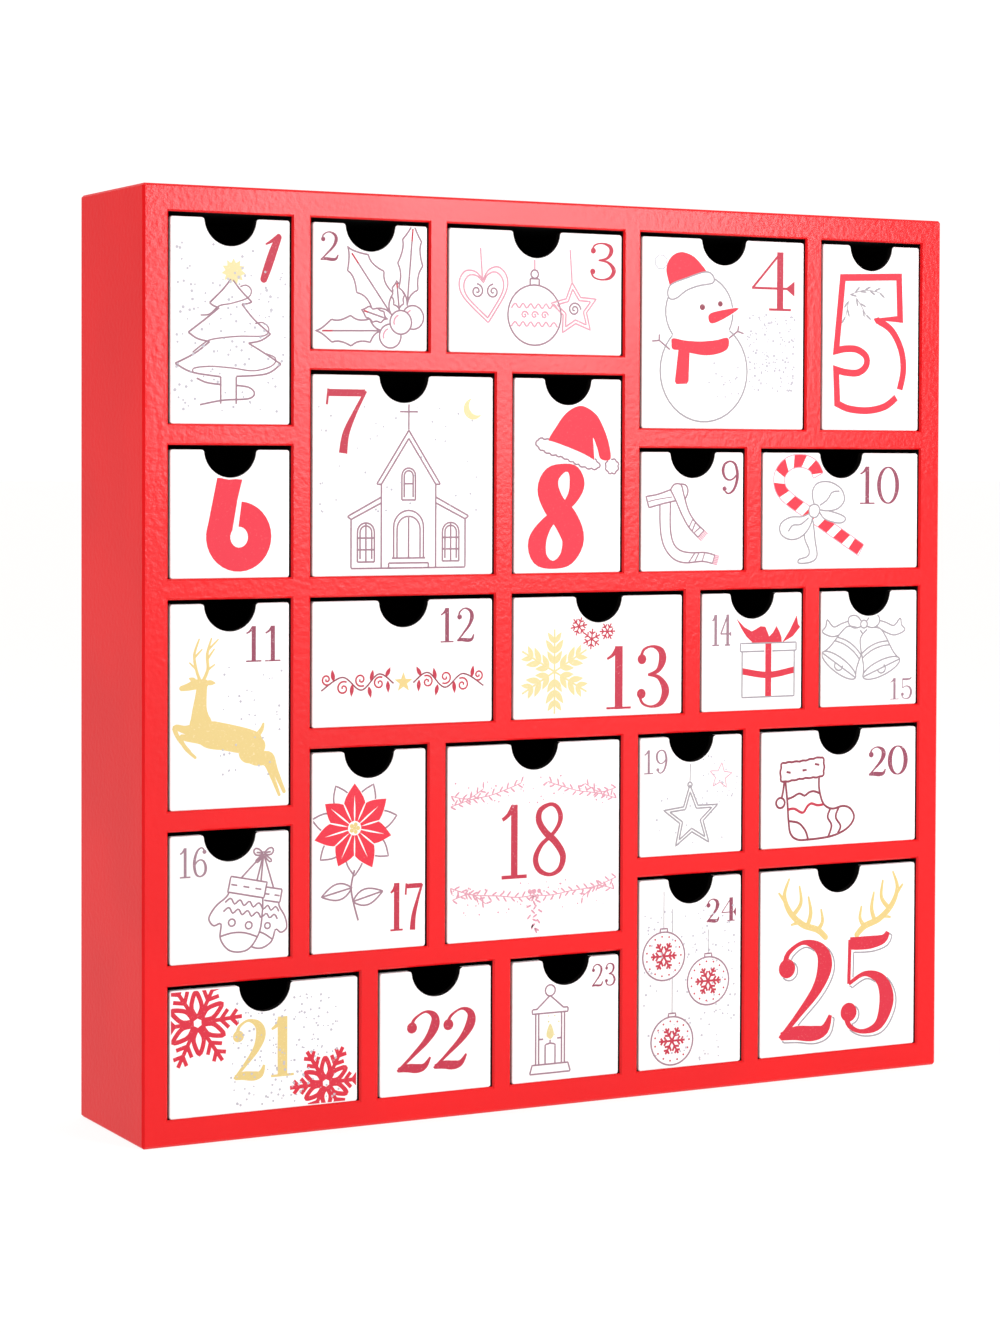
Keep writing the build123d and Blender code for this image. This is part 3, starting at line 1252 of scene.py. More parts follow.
    def trim(self, whole: bmesh.types.BMesh) -> None:
        """Cut off the ink that would reach past the edges of the front.

        Args:
            whole: The joined inks, in millimetres.
        """
        low = Vector((self.margin, self.margin, 0))
        high = Vector((self.width - self.margin, self.height - self.margin, 0))
        for corner, outward in ((low, (-1, 0, 0)), (low, (0, -1, 0)), (high, (1, 0, 0)), (high, (0, 1, 0))):
            parts = [*whole.verts, *whole.edges, *whole.faces]
            cut = bmesh.ops.bisect_plane(
                whole, geom=parts, dist=TOUCH_MM, plane_co=corner, plane_no=outward, clear_outer=True
            )
            edges = [part for part in cut["geom_cut"] if isinstance(part, bmesh.types.BMEdge)]
            rim = [edge for edge in edges if edge.is_boundary]
            if rim:
                bmesh.ops.holes_fill(whole, edges=rim, sides=0)


def curve_data(lines: list[tuple[Outline, bool]]) -> bpy.types.Curve:
    """Make a curve of straight runs.

    Args:
        lines: Points of each line, flat or in space, with whether it is closed.

    Returns:
        The curve.
    """
    data = bpy.data.curves.new("lines", "CURVE")
    data.dimensions = "3D"
    for points, closed in lines:
        spline = data.splines.new("POLY")
        spline.points.add(len(points) - 1)
        for spot, point in zip(spline.points, points):
            x, y, z = (*point, 0.0)[:3]
            spot.co = (x, y, z, 1.0)
        spline.use_cyclic_u = closed
    return data


# Motifs


# Points in a turn of a curl, the fewest of a curl, and the share of its radius that it winds in by
CURL_POINTS = 14
CURL_FEWEST = 8
CURL_INWARD = 0.85
# Steps along the side of a leaf, and a power that sets its widest place nearer the base
LEAF_STEPS = 9
LEAF_POWER = 0.85


def mirrored(points: Iterable[Point], axis: float) -> Outline:
    """Points mirrored left to right about an upright axis."""
    return [(2 * axis - x, y, *rest) for x, y, *rest in points]


def paired(lines: Iterable[Outline], axis: float) -> list[Outline]:
    """Lines together with their mirror images about an upright axis."""
    drawn = list(lines)
    return [*drawn, *(mirrored(line, axis) for line in drawn)]


def spiral(centre: Point, radius: float, turns: float, start: float = 0.0) -> Outline:
    """Points of a curl that winds in towards its centre.

    Args:
        centre: Middle of the curl.
        radius: Radius where it starts.
        turns: Number of turns, negative for clockwise.
        start: Angle of its first point in degrees.

    Returns:
        Points along the curl.
    """
    parts = max(CURL_FEWEST, round(CURL_POINTS * abs(turns)))
    shares = [k / parts for k in range(parts + 1)]
    steps = [(radius * (1 - CURL_INWARD * t), math.radians(start + 360 * turns * t)) for t in shares]
    return [(centre[0] + reach * math.cos(a), centre[1] + reach * math.sin(a)) for reach, a in steps]


def star(centre: Point, outer: float, inner: float, points: int = 5, turn: float = 90.0) -> Outline:
    """Closed outline of a star.

    Args:
        centre: Middle of the star.
        outer: Radius of the tips.
        inner: Radius of the hollows.
        points: Number of tips.
        turn: Angle of the first tip in degrees.

    Returns:
        The outline.
    """
    reach = [(inner if k % 2 else outer, math.radians(turn + 180 * k / points)) for k in range(2 * points)]
    return [(centre[0] + r * math.cos(a), centre[1] + r * math.sin(a)) for r, a in reach]


def arch(middle: float, bottom: float, width: float, height: float) -> Outline:
    """Open outline of a round-headed opening, from its left foot to its right foot.

    Args:
        middle: Middle of the opening, across.
        bottom: Height of its feet.
        width: Its width.
        height: Its height in the middle.

    Returns:
        The outline.
    """
    half = width / 2
    spring = bottom + height - half
    return [(middle - half, bottom), *reversed(arc((middle, spring), half, 0, 180)), (middle + half, bottom)]


def leaf(base: Point, tip: Point, half: float) -> Outline:
    """Closed outline of a pointed leaf.

    Args:
        base: Where the leaf starts.
        tip: Where it ends.
        half: Half its width.

    Returns:
        The outline.
    """
    long = math.dist(base, tip)
    shares = [k / LEAF_STEPS for k in range(LEAF_STEPS + 1)]
    upper = [(long * t, half * math.sin(math.pi * t**LEAF_POWER)) for t in shares]
    shape = [*upper, *((x, -y) for x, y in reversed(upper[1:-1]))]
    return place(shape, base, turn=math.degrees(math.atan2(tip[1] - base[1], tip[0] - base[0])))


def holly_leaf(base: Point, tip: Point, half: float, spikes: int = 3) -> Outline:
    """Closed outline of a holly leaf, with hollow edges between its spikes.

    Args:
        base: Where the leaf starts.
        tip: Where it ends.
        half: Half its width at the widest spike.
        spikes: Spikes on each side.

    Returns:
        The outline.
    """
    long = math.dist(base, tip)
    first, beyond, swell, span, forward, deep = 0.7, 0.55, 0.12, 0.8, 0.04, 0.36
    shares = [(k + first) / (spikes + beyond) for k in range(spikes)]
    tips = [(long * t, half * math.sin(math.pi * (swell + span * t))) for t in shares]
    corners = [(0.0, 0.0), *tips, (long, 0.0)]
    side = []
    for (x0, y0), (x1, y1) in zip(corners, corners[1:]):
        x, y = (x0 + x1) / 2 + forward * long, (y0 + y1) / 2 - deep * half
        for t in (0, 0.2, 0.4, 0.6, 0.8):
            weights = (1 - t) ** 2, 2 * t * (1 - t), t * t
            hollow = ((x0, x, x1), (y0, y, y1))
            side.append(tuple(sum(w * c for w, c in zip(weights, three)) for three in hollow))
    shape = [*side, corners[-1], *((x, -y) for x, y in reversed(side[1:]))]
    return place(shape, base, turn=math.degrees(math.atan2(tip[1] - base[1], tip[0] - base[0])))


def fluffy(points: Outline, bumps: int, depth: float) -> Outline:
    """Closed outline that bulges out in bumps, as wool or fur does.

    Args:
        points: Closed outline.
        bumps: Number of bumps round it.
        depth: How far they bulge.

    Returns:
        The bumpy outline.
    """
    line = dense(anticlockwise(points), closed=True, step=0.4)
    count = len(line)
    shape = []
    for i, (x, y) in enumerate(line):
        (x0, y0), (x1, y1) = line[i - 2], line[(i + 2) % count]
        long = math.hypot(x1 - x0, y1 - y0) or 1.0
        out = depth * abs(math.sin(math.pi * bumps * i / count))
        shape.append((x + (y1 - y0) / long * out, y - (x1 - x0) / long * out))
    return shape


def strokes(*lines: Iterable[Point]) -> list[Outline]:
    """Areas under round-ended brush strokes.

    Args:
        lines: Points of each stroke, with the brush's width there.

    Returns:
        Outlines that cover the strokes.
    """
    areas = []
    for line in lines:
        path = smooth(line)
        areas += brush(path)
        areas += [arc(end[:2], end[2] / 2) for end in (path[0], path[-1])]
    return areas


def ribbon(points: Iterable[Point], width: float) -> list[Outline]:
    """Areas under a pen of one width, with square corners.

    Args:
        points: The line that the pen follows.
        width: Width of the pen.

    Returns:
        Convex outlines that cover the stroke.
    """
    line = [Vector(point) for point in points]
    ways = [(after - before).normalized() for before, after in zip(line, line[1:])]
    rims = []
    for spot, before, after in zip(line, [ways[0], *ways], [*ways, ways[-1]]):
        across = Vector((-before.y - after.y, before.x + after.x))
        across *= width / 2 / max(1 + before.dot(after), 0.5)
        rims.append([tuple(spot + across), tuple(spot - across)])
    return [hull(first + second) for first, second in zip(rims, rims[1:])]


def along(points: Outline, start: float, end: float, offset: float, parts: int = 4) -> Outline:
    """Points beside a line, from one distance along it to another.

    Args:
        points: The line.
        start: First distance from its beginning.
        end: Last distance.
        offset: Distance to the left of the line.
        parts: Number of steps.

    Returns:
        The points.
    """
    line = dense(points, closed=False, step=0.3)
    reach = [0.0]
    for a, b in zip(line, line[1:]):
        reach.append(reach[-1] + math.dist(a, b))
    spots = []
    for k in range(parts + 1):
        want = start + (end - start) * k / parts
        i = min(max(sum(r < want for r in reach), 1), len(line) - 1)
        (x0, y0), (x1, y1) = line[i - 1], line[i]
        long = math.dist(line[i - 1], line[i])
        t = (want - reach[i - 1]) / long
        x, y = x0 + (x1 - x0) * t, y0 + (y1 - y0) * t
        spots.append((x - (y1 - y0) / long * offset, y + (x1 - x0) / long * offset))
    return spots


def snow_arm(length: float, twigs: Iterable[tuple[float, float]], angle: float = 55.0) -> list[Outline]:
    """Lines of one snowflake arm along X.

    Args:
        length: Length of the arm.
        twigs: Distance from the centre and length of each pair of twigs.
        angle: Angle between twig and arm in degrees.

    Returns:
        The lines.
    """
    cos, sin = math.cos(math.radians(angle)), math.sin(math.radians(angle))
    lines = [[(0.0, 0.0), (length, 0.0)]]
    for start, long in twigs:
        lines += [[(start, 0.0), (start + long * cos, side * long * sin)] for side in (-1, 1)]
    return lines


BOW_LOOP = ((1, 0.8), (4.6, 4.4), (8.6, 5.2), (10, 2.2), (7.4, -1.2), (1, -0.8))
BOW_TAIL = ((0.8, -1.2), (3, -5), (6.6, -8.2), (8.2, -6.6), (4.8, -3.6), (1.6, -0.8))
BOW_FOLD = ((1.4, 0.2), (4.4, 1.2), (7.2, 1.4))


def bow(sheet: Print, ink: Ink, at: Point, size: float) -> None:
    """Draw a ribbon bow in lines.

    Args:
        sheet: The print that gets it.
        ink: Its ink.
        at: Middle of the knot.
        size: Scale, where 1 makes it 20 mm wide.
    """
    knot = place(arc((0, 0), 1.5, squash=1.2), at, size)
    for flip in (False, True):
        loop, fold, tail = (place(line, at, size, flip=flip) for line in (BOW_LOOP, BOW_FOLD, BOW_TAIL))
        sheet.curve(ink, loop, tail, closed=True, under=[knot])
        sheet.curve(ink, fold, under=[knot])
    sheet.line(ink, knot, closed=True)


# Ornaments of the drawers, in order


def spruce(sheet: Print) -> None:
    """Three-tiered spruce in swinging lines, with a star, swags and a swirl of ribbon.

    Args:
        sheet: The print that gets it.
    """
    branches = (
        [(21.6, 48.4), (18.6, 44.8), (14, 40.4)], [(14, 40.4), (15.4, 39.4), (17.4, 38.8)],
        [(22.4, 48.2), (25.2, 44.8), (29.2, 41)], [(29.2, 41), (27.6, 40.4), (25.6, 40.2)],
        [(17.4, 38.8), (12.6, 35), (6.4, 30.4)], [(6.4, 30.4), (9.6, 28.4), (14, 27.4)],
        [(25.6, 40.2), (30, 35.2), (36, 30.4)], [(36, 30.4), (32.6, 28.2), (28, 27.2)],
        [(14, 27.4), (8.6, 23.4), (1.8, 20)], [(1.8, 20), (7.6, 17.2), (18, 15.8)],
        [(28, 27.2), (33.4, 24.2), (39.8, 20.4)], [(39.8, 20.4), (34.4, 17), (23.6, 16)],
    )
    swags = (
        [(10.8, 36.2), (14, 36.6), (17.4, 39.4), (22, 40.4), (27.8, 42.4), (29, 45), (27.2, 46.6), (25, 46)],
        [
            (8, 23.8), (11.4, 26.4), (14.8, 28.2), (24, 29.4), (33.6, 29.8), (35.4, 32.2), (33.2, 34.2),
            (30.4, 33.8),
        ],
        [
            (8.4, 16.8), (8.2, 18.4), (14, 19.2), (22, 18.8), (30, 18), (36.6, 19.8), (37.8, 22.4),
            (34.4, 23.8),
        ],
    )
    swirl = (
        [(9.4, 15.2), (13, 13.8), (18, 13.2)],
        [(23.6, 13), (28.2, 12.4), (30.2, 10.4), (28, 8.6), (19, 8), (10.6, 6.4)],
    )
    sheet.curve(Ink.MAUVE, *branches, *swirl)
    sheet.curve(Ink.MAUVE, *swags, width=0.5)
    sheet.line(Ink.MAUVE, *([(x, 15.8), (x, 6.8)] for x in (18, 23.6)))
    stem = [(38.9, 63, 2.2), (36.9, 58.2, 2.9), (34.8, 52.4, 2.9), (33.5, 48.8, 2.5)]
    flag = [(38.9, 63.4, 1.6), (36.6, 61.8, 1.2), (34.4, 60.6, 0.6)]
    sheet.fill(Ink.CRIMSON, *strokes(stem, flag))
    sheet.fill(Ink.STRAW, star((22.6, 51), 4.4, 3, points=11))
    sheet.specks(Ink.MIST, (1.5, 4, 41.5, 60), 130, 12, (0.3, 0.6))


def holly(sheet: Print) -> None:
    """Holly sprig with three berries.

    Args:
        sheet: The print that gets it.
    """
    leaves = (
        ((29.4, 12.4), (12.8, 35.2), 6.4), ((26.4, 6.8), (0.9, 6.2), 5.2), ((35.4, 15.6), (37.8, 45), 4.8),
        ((28, 10.8), (18, 13.8), 2.8), ((32.4, 14), (31.4, 24.2), 2.6),
    )
    covers: list[Outline] = []
    for centre in ((33, 9.8), (29, 5), (37.6, 11.6)):
        berry = arc(centre, 4.1)
        sheet.line(Ink.MAUVE, berry, closed=True, under=covers)
        sheet.line(Ink.ROSE, arc(centre, 2.6, 110, 200), under=covers)
        covers.append(berry)
    for base, tip, half in leaves:
        outline = holly_leaf(base, tip, half)
        vein = [base, *(tuple(a + (b - a) * share for a, b in zip(base, tip)) for share in (0.75, 0.9))]
        sheet.line(Ink.MAUVE, outline, closed=True, under=covers)
        sheet.line(Ink.MAUVE, vein[:2], under=covers)
        sheet.line(Ink.CRIMSON, vein[1:], under=covers)
        covers.append(outline)


def tree_ornaments(sheet: Print) -> None:
    """Heart, round and star ornaments with curls.

    Args:
        sheet: The print that gets them.
    """
    half = [(0, 5.4), (2.6, 8.6), (6.6, 9.2), (9.4, 5.6), (8.2, 0), (0, -9.6)]
    heart = smooth(half) + smooth([(-x, y) for x, y in reversed(half)])[1:-1]
    hearts = [place(heart, (14, 20), size, 8) for size in (1.0, 0.82)]
    stars = [star((49.6, 16), outer, inner, turn=96) for outer, inner in ((9.6, 5), (7.2, 3.7))]
    waves = [[(24.4 + 1.53 * k, y + (0.9 if k % 2 else -0.9)) for k in range(13)] for y in (10.4, 16.8)]
    strings = ([(13, 25.4), (12.2, 36.5)], [(33.6, 29.5), (33.6, 33)], [(48.6, 25.6), (47.8, 37)])
    curls = [spiral((14 + 3.2 * side, 21.4), 2.6, 1.6 * side, 90) for side in (-1, 1)]
    clasp = [(31.8, 24), (31.8, 26.4), (35.4, 26.4), (35.4, 24)]
    sheet.line(Ink.ROSE, *hearts, *stars, closed=True)
    sheet.curve(Ink.ROSE, *waves)
    sheet.line(Ink.ROSE, *strings, *(spiral((x, 13.6), 1.5, 1.4) for x in (29.6, 33.6, 37.6)))
    sheet.line(Ink.MAUVE, arc((33.6, 13.6), 10.6), arc((33.6, 28), 1.5), closed=True)
    sheet.line(Ink.MAUVE, *curls, spiral((49.6, 16), 2.6, 1.8), clasp)


def snowman(sheet: Print) -> None:
    """Plain snowman with a red cap and scarf.

    Args:
        sheet: The print that gets it.
    """
    wrap = blob(
        (12.8, 32.5), (18, 31.8), (24.6, 31.6), (31, 32.2), (36, 33.1), (36.2, 29.6), (33, 27.6),
        (27.1, 26.6), (21, 27.2), (16.4, 28.2), (12.8, 28.6), (12.3, 30.6),
    )
    tail = [(15.2, 28.6), (19.9, 28.2), (19.5, 17.2), (18.8, 16.2), (14.4, 16), (13.8, 17)]
    brim = blob(
        (10.6, 48.6), (12, 51.8), (18.6, 54.4), (26.2, 56.8), (29.4, 55.8), (29.8, 53), (23.7, 51.7),
        (18.6, 49.9), (14.4, 47), (11.6, 46.6),
    )
    cap = [(11.4, 51.6), (10, 57.2), (11.9, 61.6), (16.1, 63.6), (21.2, 62.3), (25.4, 58.7), (27.1, 56.6)]
    cap = smooth(cap)
    nose = blob((28.6, 41.8), (34, 43.2), (40.6, 44), (35, 40.4), (29.4, 38.2), (27.8, 39.8))
    head, body = arc((24, 42.2), 14.2, squash=0.96), arc((26, 20.9), 18.4)
    twigs = (
        [(11.6, 28.4), (7.2, 31.6), (7.2, 33.8)], [(7.2, 31.6), (4.2, 31.3)],
        [(36.6, 33), (40.3, 35.6), (40.7, 37.6)], [(40.3, 35.6), (42.8, 34.8)],
    )
    sheet.fill(Ink.SCARLET, wrap, tail)
    sheet.fill(Ink.SCARLET, cap, cuts=[brim])
    sheet.fill(Ink.SCARLET, nose)
    sheet.fill(Ink.MAROON, arc((25.2, 44), 1.1), arc((32.8, 45.4), 1))
    sheet.line(Ink.GREY, brim, closed=True)
    sheet.line(Ink.MIST, fluffy(arc((7.8, 59.8), 2.2), 8, 0.5), closed=True, width=0.4, under=[cap])
    sheet.line(Ink.GREY, head, closed=True, under=[wrap, brim, cap, nose, body])
    sheet.line(Ink.GREY, body, closed=True, under=[wrap, tail, head])
    sheet.line(Ink.MAUVE, *twigs)
    sheet.specks(Ink.MIST, (44, 14, 65, 42), 130, 41, (0.28, 0.55))
    sheet.specks(Ink.MIST, (28, 10, 42, 24), 16, 42, (0.24, 0.45))


def outlined_five(sheet: Print) -> None:
    """Large five drawn as a broad outline, with sprigs inside.

    Args:
        sheet: The print that gets it.
    """
    foot = smooth([(33, 12.4), (28, 9), (20.4, 7.4), (12, 7.9), (6.6, 9.8)])
    bowl = smooth([
        (6, 22.4), (10, 21.5), (15.6, 21.4), (19.2, 23.8), (19.4, 27.4), (15.4, 30), (10, 30.2), (6, 29.4),
    ])
    back = smooth([(23.8, 41.4), (30.6, 37.6), (35, 30.6), (36.2, 22.8), (34.6, 15.4)])
    sheet.fill(Ink.SCARLET, *ribbon([*foot, *bowl, (8.8, 56.6), (34, 57.6), (34.6, 41.7), *back], 2.6))
    stems = (
        [(12, 50.4), (18.6, 52.2), (25, 51.6)],
        [(14.8, 49.2), (17, 46.4), (19, 43.2)],
        [(11.4, 48), (10.8, 45), (10.2, 42.4)],
    )
    sheet.curve(Ink.GREY, *stems, width=0.4)
    for stem in stems:
        sheet.sprig(Ink.GREY, stem, 2.0, (3.4, 0.8), 51, 26)


def block_six(sheet: Print) -> None:
    """Solid six with a slit between its stem and its bowl.

    Args:
        sheet: The print that gets it.
    """
    stem = [(16.8, 33.6), (25.8, 33), (20.8, 13.8), (12.8, 14.6)]
    slit = [(24.1, 26.4), (25.7, 26.2), (24.2, 15.2), (22, 14.6)]
    sheet.fill(Ink.SCARLET, stem, arc((24.6, 13.9), 11.8), cuts=[arc((24.7, 13.7), 3.2, squash=1.1), slit])


def chapel(sheet: Print) -> None:
    """Village chapel seen from the front, and a moon.

    Args:
        sheet: The print that gets them.
    """
    ink, middle = Ink.MAUVE, 36.2
    half = (
        [(middle, 50), (24, 31.4), (25.8, 31.4), (middle, 47.2)], [(25.8, 31.4), (25.8, 2.6)],
        [(25.8, 27), (13, 20.4), (14.4, 19.4), (25.8, 25)], [(14.4, 19.4), (14.4, 2.6), (29.6, 2.6)],
        arch(20, 4.8, 6.4, 13.4), [(16.8, 4.8), (23.2, 4.8)], arch(20, 5.8, 4.4, 11.4),
        [(20, 4.8), (20, 18.2)], [(17, 9), (23, 9)], [(17, 13), (23, 13)],
        [(middle - 7.6, 2.6), (middle - 7.6, 4.3)],
    )
    openings = (
        arch(middle, 26, 5.2, 11), arch(middle, 26.9, 3.4, 9.2), arch(middle, 6, 11.4, 16.4),
        arch(middle, 6, 8.8, 14.4), [(middle, 6), (middle, 20.4)],
    )
    bars = ((26, 2.6), (31.6, 1.7), (2.6, 7.6), (4.3, 7.6), (6, 6.4))
    cross = ([(middle, 59.4), (middle, 50.2)], [(middle - 3.4, 56.4), (middle + 3.4, 56.4)])
    sheet.line(ink, *cross, width=0.6)
    sheet.line(ink, *paired(half, middle), *openings)
    sheet.line(ink, *([(middle - reach, y), (middle + reach, y)] for y, reach in bars))
    sheet.fill(Ink.STRAW, arc((61, 57.6), 3.7), cuts=[arc((62.8, 58.8), 3.4)])
    sheet.specks(Ink.MIST, (2, 22, 66, 58), 44, 71, (0.24, 0.45))


def cap_eight(sheet: Print) -> None:
    """Red cap with a woolly brim, set over the eight.

    Args:
        sheet: The print that gets it.
    """
    brim = blob(
        (9.6, 44.6), (14.4, 42.4), (19.4, 41.2), (28, 37.8), (33.2, 37.2), (33.8, 38.6), (31.7, 40.2),
        (26.8, 42.6), (18.6, 45.5), (13.7, 46.8), (9.6, 47),
    )
    cap = blob(
        (13.7, 46.4), (16.6, 51.6), (21.1, 56.9), (26.8, 59.2), (32.6, 56.4), (35.8, 51.6), (38, 46),
        (38.7, 40.4), (34.8, 40.4), (33.3, 44.4), (31.6, 48), (31.9, 43.6), (31.6, 39.4), (26.8, 41.6),
        (18.6, 44.6),
    )
    wool = (fluffy(brim, 22, 0.6), fluffy(arc((39.4, 37.8), 2.3), 8, 0.6))
    sheet.fill(Ink.SCARLET, cap, cuts=[brim])
    sheet.line(Ink.MAUVE, *wool, closed=True, under=[cap])


def scarf(sheet: Print) -> None:
    """Knotted scarf with fringed ends.

    Args:
        sheet: The print that gets it.
    """
    ink = Ink.MAUVE
    short = (
        smooth([(12.2, 29.4), (14.6, 25.2), (17, 20.4), (20, 15.8), (23.8, 12.2)]),
        smooth([
            (12.2, 29.4), (13.8, 31.4), (16.6, 31.2), (17.8, 27.6), (19.8, 21.8), (22.8, 17.6), (26.4, 14.6),
        ]),
    )
    long = (
        smooth([(7.8, 24.2), (8, 15.4), (9.6, 9), (13.4, 4.6), (18.4, 3), (25.6, 3.4), (30, 2.6)]),
        smooth([(12.2, 25), (12.2, 15.4), (13.6, 10), (16.6, 7.4), (21, 6.6), (26.8, 6.6), (31, 5.6)]),
    )
    knot = [*short[0], *reversed(short[1])]
    band = [
        *smooth([(15.2, 25.6), (10, 24.6), (3.2, 23)]),
        *smooth([(2, 27), (7, 27.8), (12.6, 29.6)]),
    ]
    sheet.curve(ink, [(16.4, 31.5), (18.8, 31), (19.5, 28.4), (18, 25.6)], under=[knot])
    sheet.line(ink, band, closed=True, under=[knot])
    sheet.curve(ink, [(3, 25.2), (7, 26), (12.8, 26.8)], width=0.4, under=[knot])
    for (left, right), covers in ((short, []), (long, [knot, band])):
        sheet.line(ink, left, right, under=covers)
        for share in (0.72, 0.79, 0.86, 1.0):
            stripe = [side[min(round(share * len(side)), len(side) - 1)] for side in (left, right)]
            sheet.line(ink, stripe, width=0.5)
        (x0, y0), (x1, y1) = left[-1], right[-1]
        dx, dy = x0 - left[-3][0], y0 - left[-3][1]
        reach = 2 / math.hypot(dx, dy)
        for k in range(6):
            x, y = x0 + (x1 - x0) * k / 5, y0 + (y1 - y0) * k / 5
            sheet.line(Ink.ROSE, [(x, y), (x + dx * reach, y + dy * reach)], width=0.5)


def candy_cane(sheet: Print) -> None:
    """Striped cane tied with a bow.

    Args:
        sheet: The print that gets it.
    """
    path = smooth([
        (24.2, 34.6), (22, 38.2), (17, 40), (11.2, 39), (7.4, 35), (7.6, 30), (11.4, 26), (20, 20.8),
        (31, 14.2), (43.4, 6.8),
    ])
    half, pitch, stripe, slope, clear = 2.4, 8, 4.5, 1.6, 0.05
    knot = blob((20.4, 23), (23.2, 24), (25, 22), (23.4, 19.2), (20.6, 19.8))
    loops = (
        blob(
            (23, 23.2), (21.6, 28.4), (24, 31.8), (29.4, 32.2), (34.4, 29.6), (35.8, 25.4), (32.6, 22.2),
            (27, 21.6)
        ),
        blob((21.6, 20.6), (17, 19.4), (12, 19.2), (7.8, 16.8), (8, 13), (12, 11), (16.8, 12), (20.6, 15.8)),
    )
    tails = (
        blob(
            (21.4, 19), (23, 10.3), (23.8, 4.8), (21.2, 2.6), (16, 2.2), (15.8, 3.6), (19.4, 4.6),
            (20.4, 6.8), (18.2, 12.6),
        ),
        blob((25, 22), (32.6, 20.6), (36.2, 19), (35.6, 17.4), (32.6, 17), (27, 18.6)),
    )
    folds = (
        [(25, 23.6), (28.2, 25.6), (30.4, 28.4), (33.6, 28.8)],
        [(20, 19), (16.6, 16.6), (13, 16.2), (11.2, 14)],
    )
    long = sum(math.dist(a, b) for a, b in zip(path, path[1:]))
    stripes = []
    for k in range(math.ceil(long / pitch)):
        start = k * pitch
        end = min(start + stripe, long - 2 * clear)
        skew = min(slope, long - end - clear)
        stripes.append(along(path, start, end, -half) + along(path, end + skew, start + skew, half))
    outline = [*along(path, 0, long, -half, 70), *along(path, long, 0, half, 70)]
    ties = [*loops, *tails, knot]
    sheet.fill(Ink.SCARLET, *stripes, cuts=ties)
    sheet.line(Ink.ROSE, outline, closed=True, width=0.4, under=ties)
    sheet.line(Ink.GREY, *loops, closed=True, under=[knot])
    sheet.line(Ink.GREY, *tails, closed=True, under=[knot, *loops])
    sheet.curve(Ink.GREY, *folds, under=[knot])
    sheet.line(Ink.GREY, knot, closed=True)


def deer(sheet: Print) -> None:
    """Leaping deer in plain outline.

    Args:
        sheet: The print that gets it.
    """
    body = (
        [(10.4, 27.6, 6.4), (14, 25.2, 9.2), (20, 24, 9), (26, 22.6, 8.8), (30, 21.4, 8.2), (31.4, 20.6, 6)],
        [(11, 28.6, 8), (10.6, 33, 5.4), (11, 37.4, 4.2), (11.4, 41.2, 3.8)],
        [(12.4, 42.2, 2.8), (9.4, 42, 3.3), (6.4, 41.2, 2.5), (4.2, 40.8, 1.8)],
        [(9.6, 26.6, 5.2), (5.4, 27, 2.8), (1.8, 27.8, 1.8), (3.2, 24, 1.4), (7, 19.6, 1.1)],
        [(11, 24.4, 5), (6.6, 24.2, 2.6), (3.8, 24.4, 1.7), (5.6, 20.8, 1.3), (9, 17.6, 1)],
        [(29, 19.6, 8.6), (32.4, 16.8, 5), (36, 16.8, 3), (38, 12, 2.1), (41.2, 4.8, 1.3)],
        [(28.4, 18.6, 7.6), (31.2, 15.6, 3.6), (34.6, 14.8, 2.4), (36.8, 10.2, 1.7), (39.4, 3.8, 1.1)],
        [(31.6, 24.4, 1.9), (33, 26.2, 1.5), (33.6, 28, 0.8)],
    )
    horns = (
        [(11.9, 43.2, 1.2), (13.5, 47, 1.1), (13.3, 52, 1), (14.8, 57.2, 0.6)],
        [(13.3, 46.6, 0.9), (15.9, 48.4, 0.5)], [(13.4, 50.4, 0.9), (15.8, 53.6, 0.5)],
        [(13.5, 53.2, 0.8), (17.2, 56.8, 0.5)],
        [(10.6, 43.4, 1.1), (9.3, 47.2, 1), (8.7, 52, 0.9), (10.4, 57, 0.6)],
        [(9.4, 47, 0.8), (7, 49.2, 0.5)], [(8.8, 51, 0.8), (11.4, 53.6, 0.5)],
    )
    ears = (leaf((12.6, 42.6), (16.4, 42.2), 0.9), leaf((9.6, 43), (6.6, 44.2), 0.8))
    sheet.fill(Ink.GOLD, *strokes(*body, *horns), *ears)
    sheet.specks(Ink.MIST, (18, 10, 41, 48), 36, 111, (0.26, 0.5))


def scroll(sheet: Print) -> None:
    """Scrolled garland with a star in its middle.

    Args:
        sheet: The print that gets it.
    """
    middle = sheet.width / 2
    vine = [(30.6, 14.4), (25, 17.8), (18.4, 12.4), (11.4, 17), (3.4, 12.6)]
    curls = (
        spiral((25.2, 14.6), 2.3, 1.4, 60), spiral((18.2, 16), 2.4, -1.4, -60),
        spiral((11.6, 13.2), 2.5, 1.4, 60), spiral((5.4, 16.4), 2, -1.4, -60),
    )
    stalks = (
        ((27.6, 16.6), (29.4, 20)), ((22, 15.2), (22.8, 19.4)), ((15, 14.6), (14.6, 10.2)),
        ((8, 15.6), (7.4, 19.8)), ((21.2, 13.6), (22, 9.6)), ((28.4, 15.4), (28.6, 11.2)),
    )
    sheet.curve(Ink.MAROON, *paired([vine], middle), width=0.55)
    sheet.line(Ink.CRIMSON, *paired(curls, middle))
    sheet.fill(Ink.CRIMSON, *paired((leaf(base, tip, 0.75) for base, tip in stalks), middle))
    sheet.fill(Ink.GOLD, star((middle, 14.6), 3.6, 1.5))


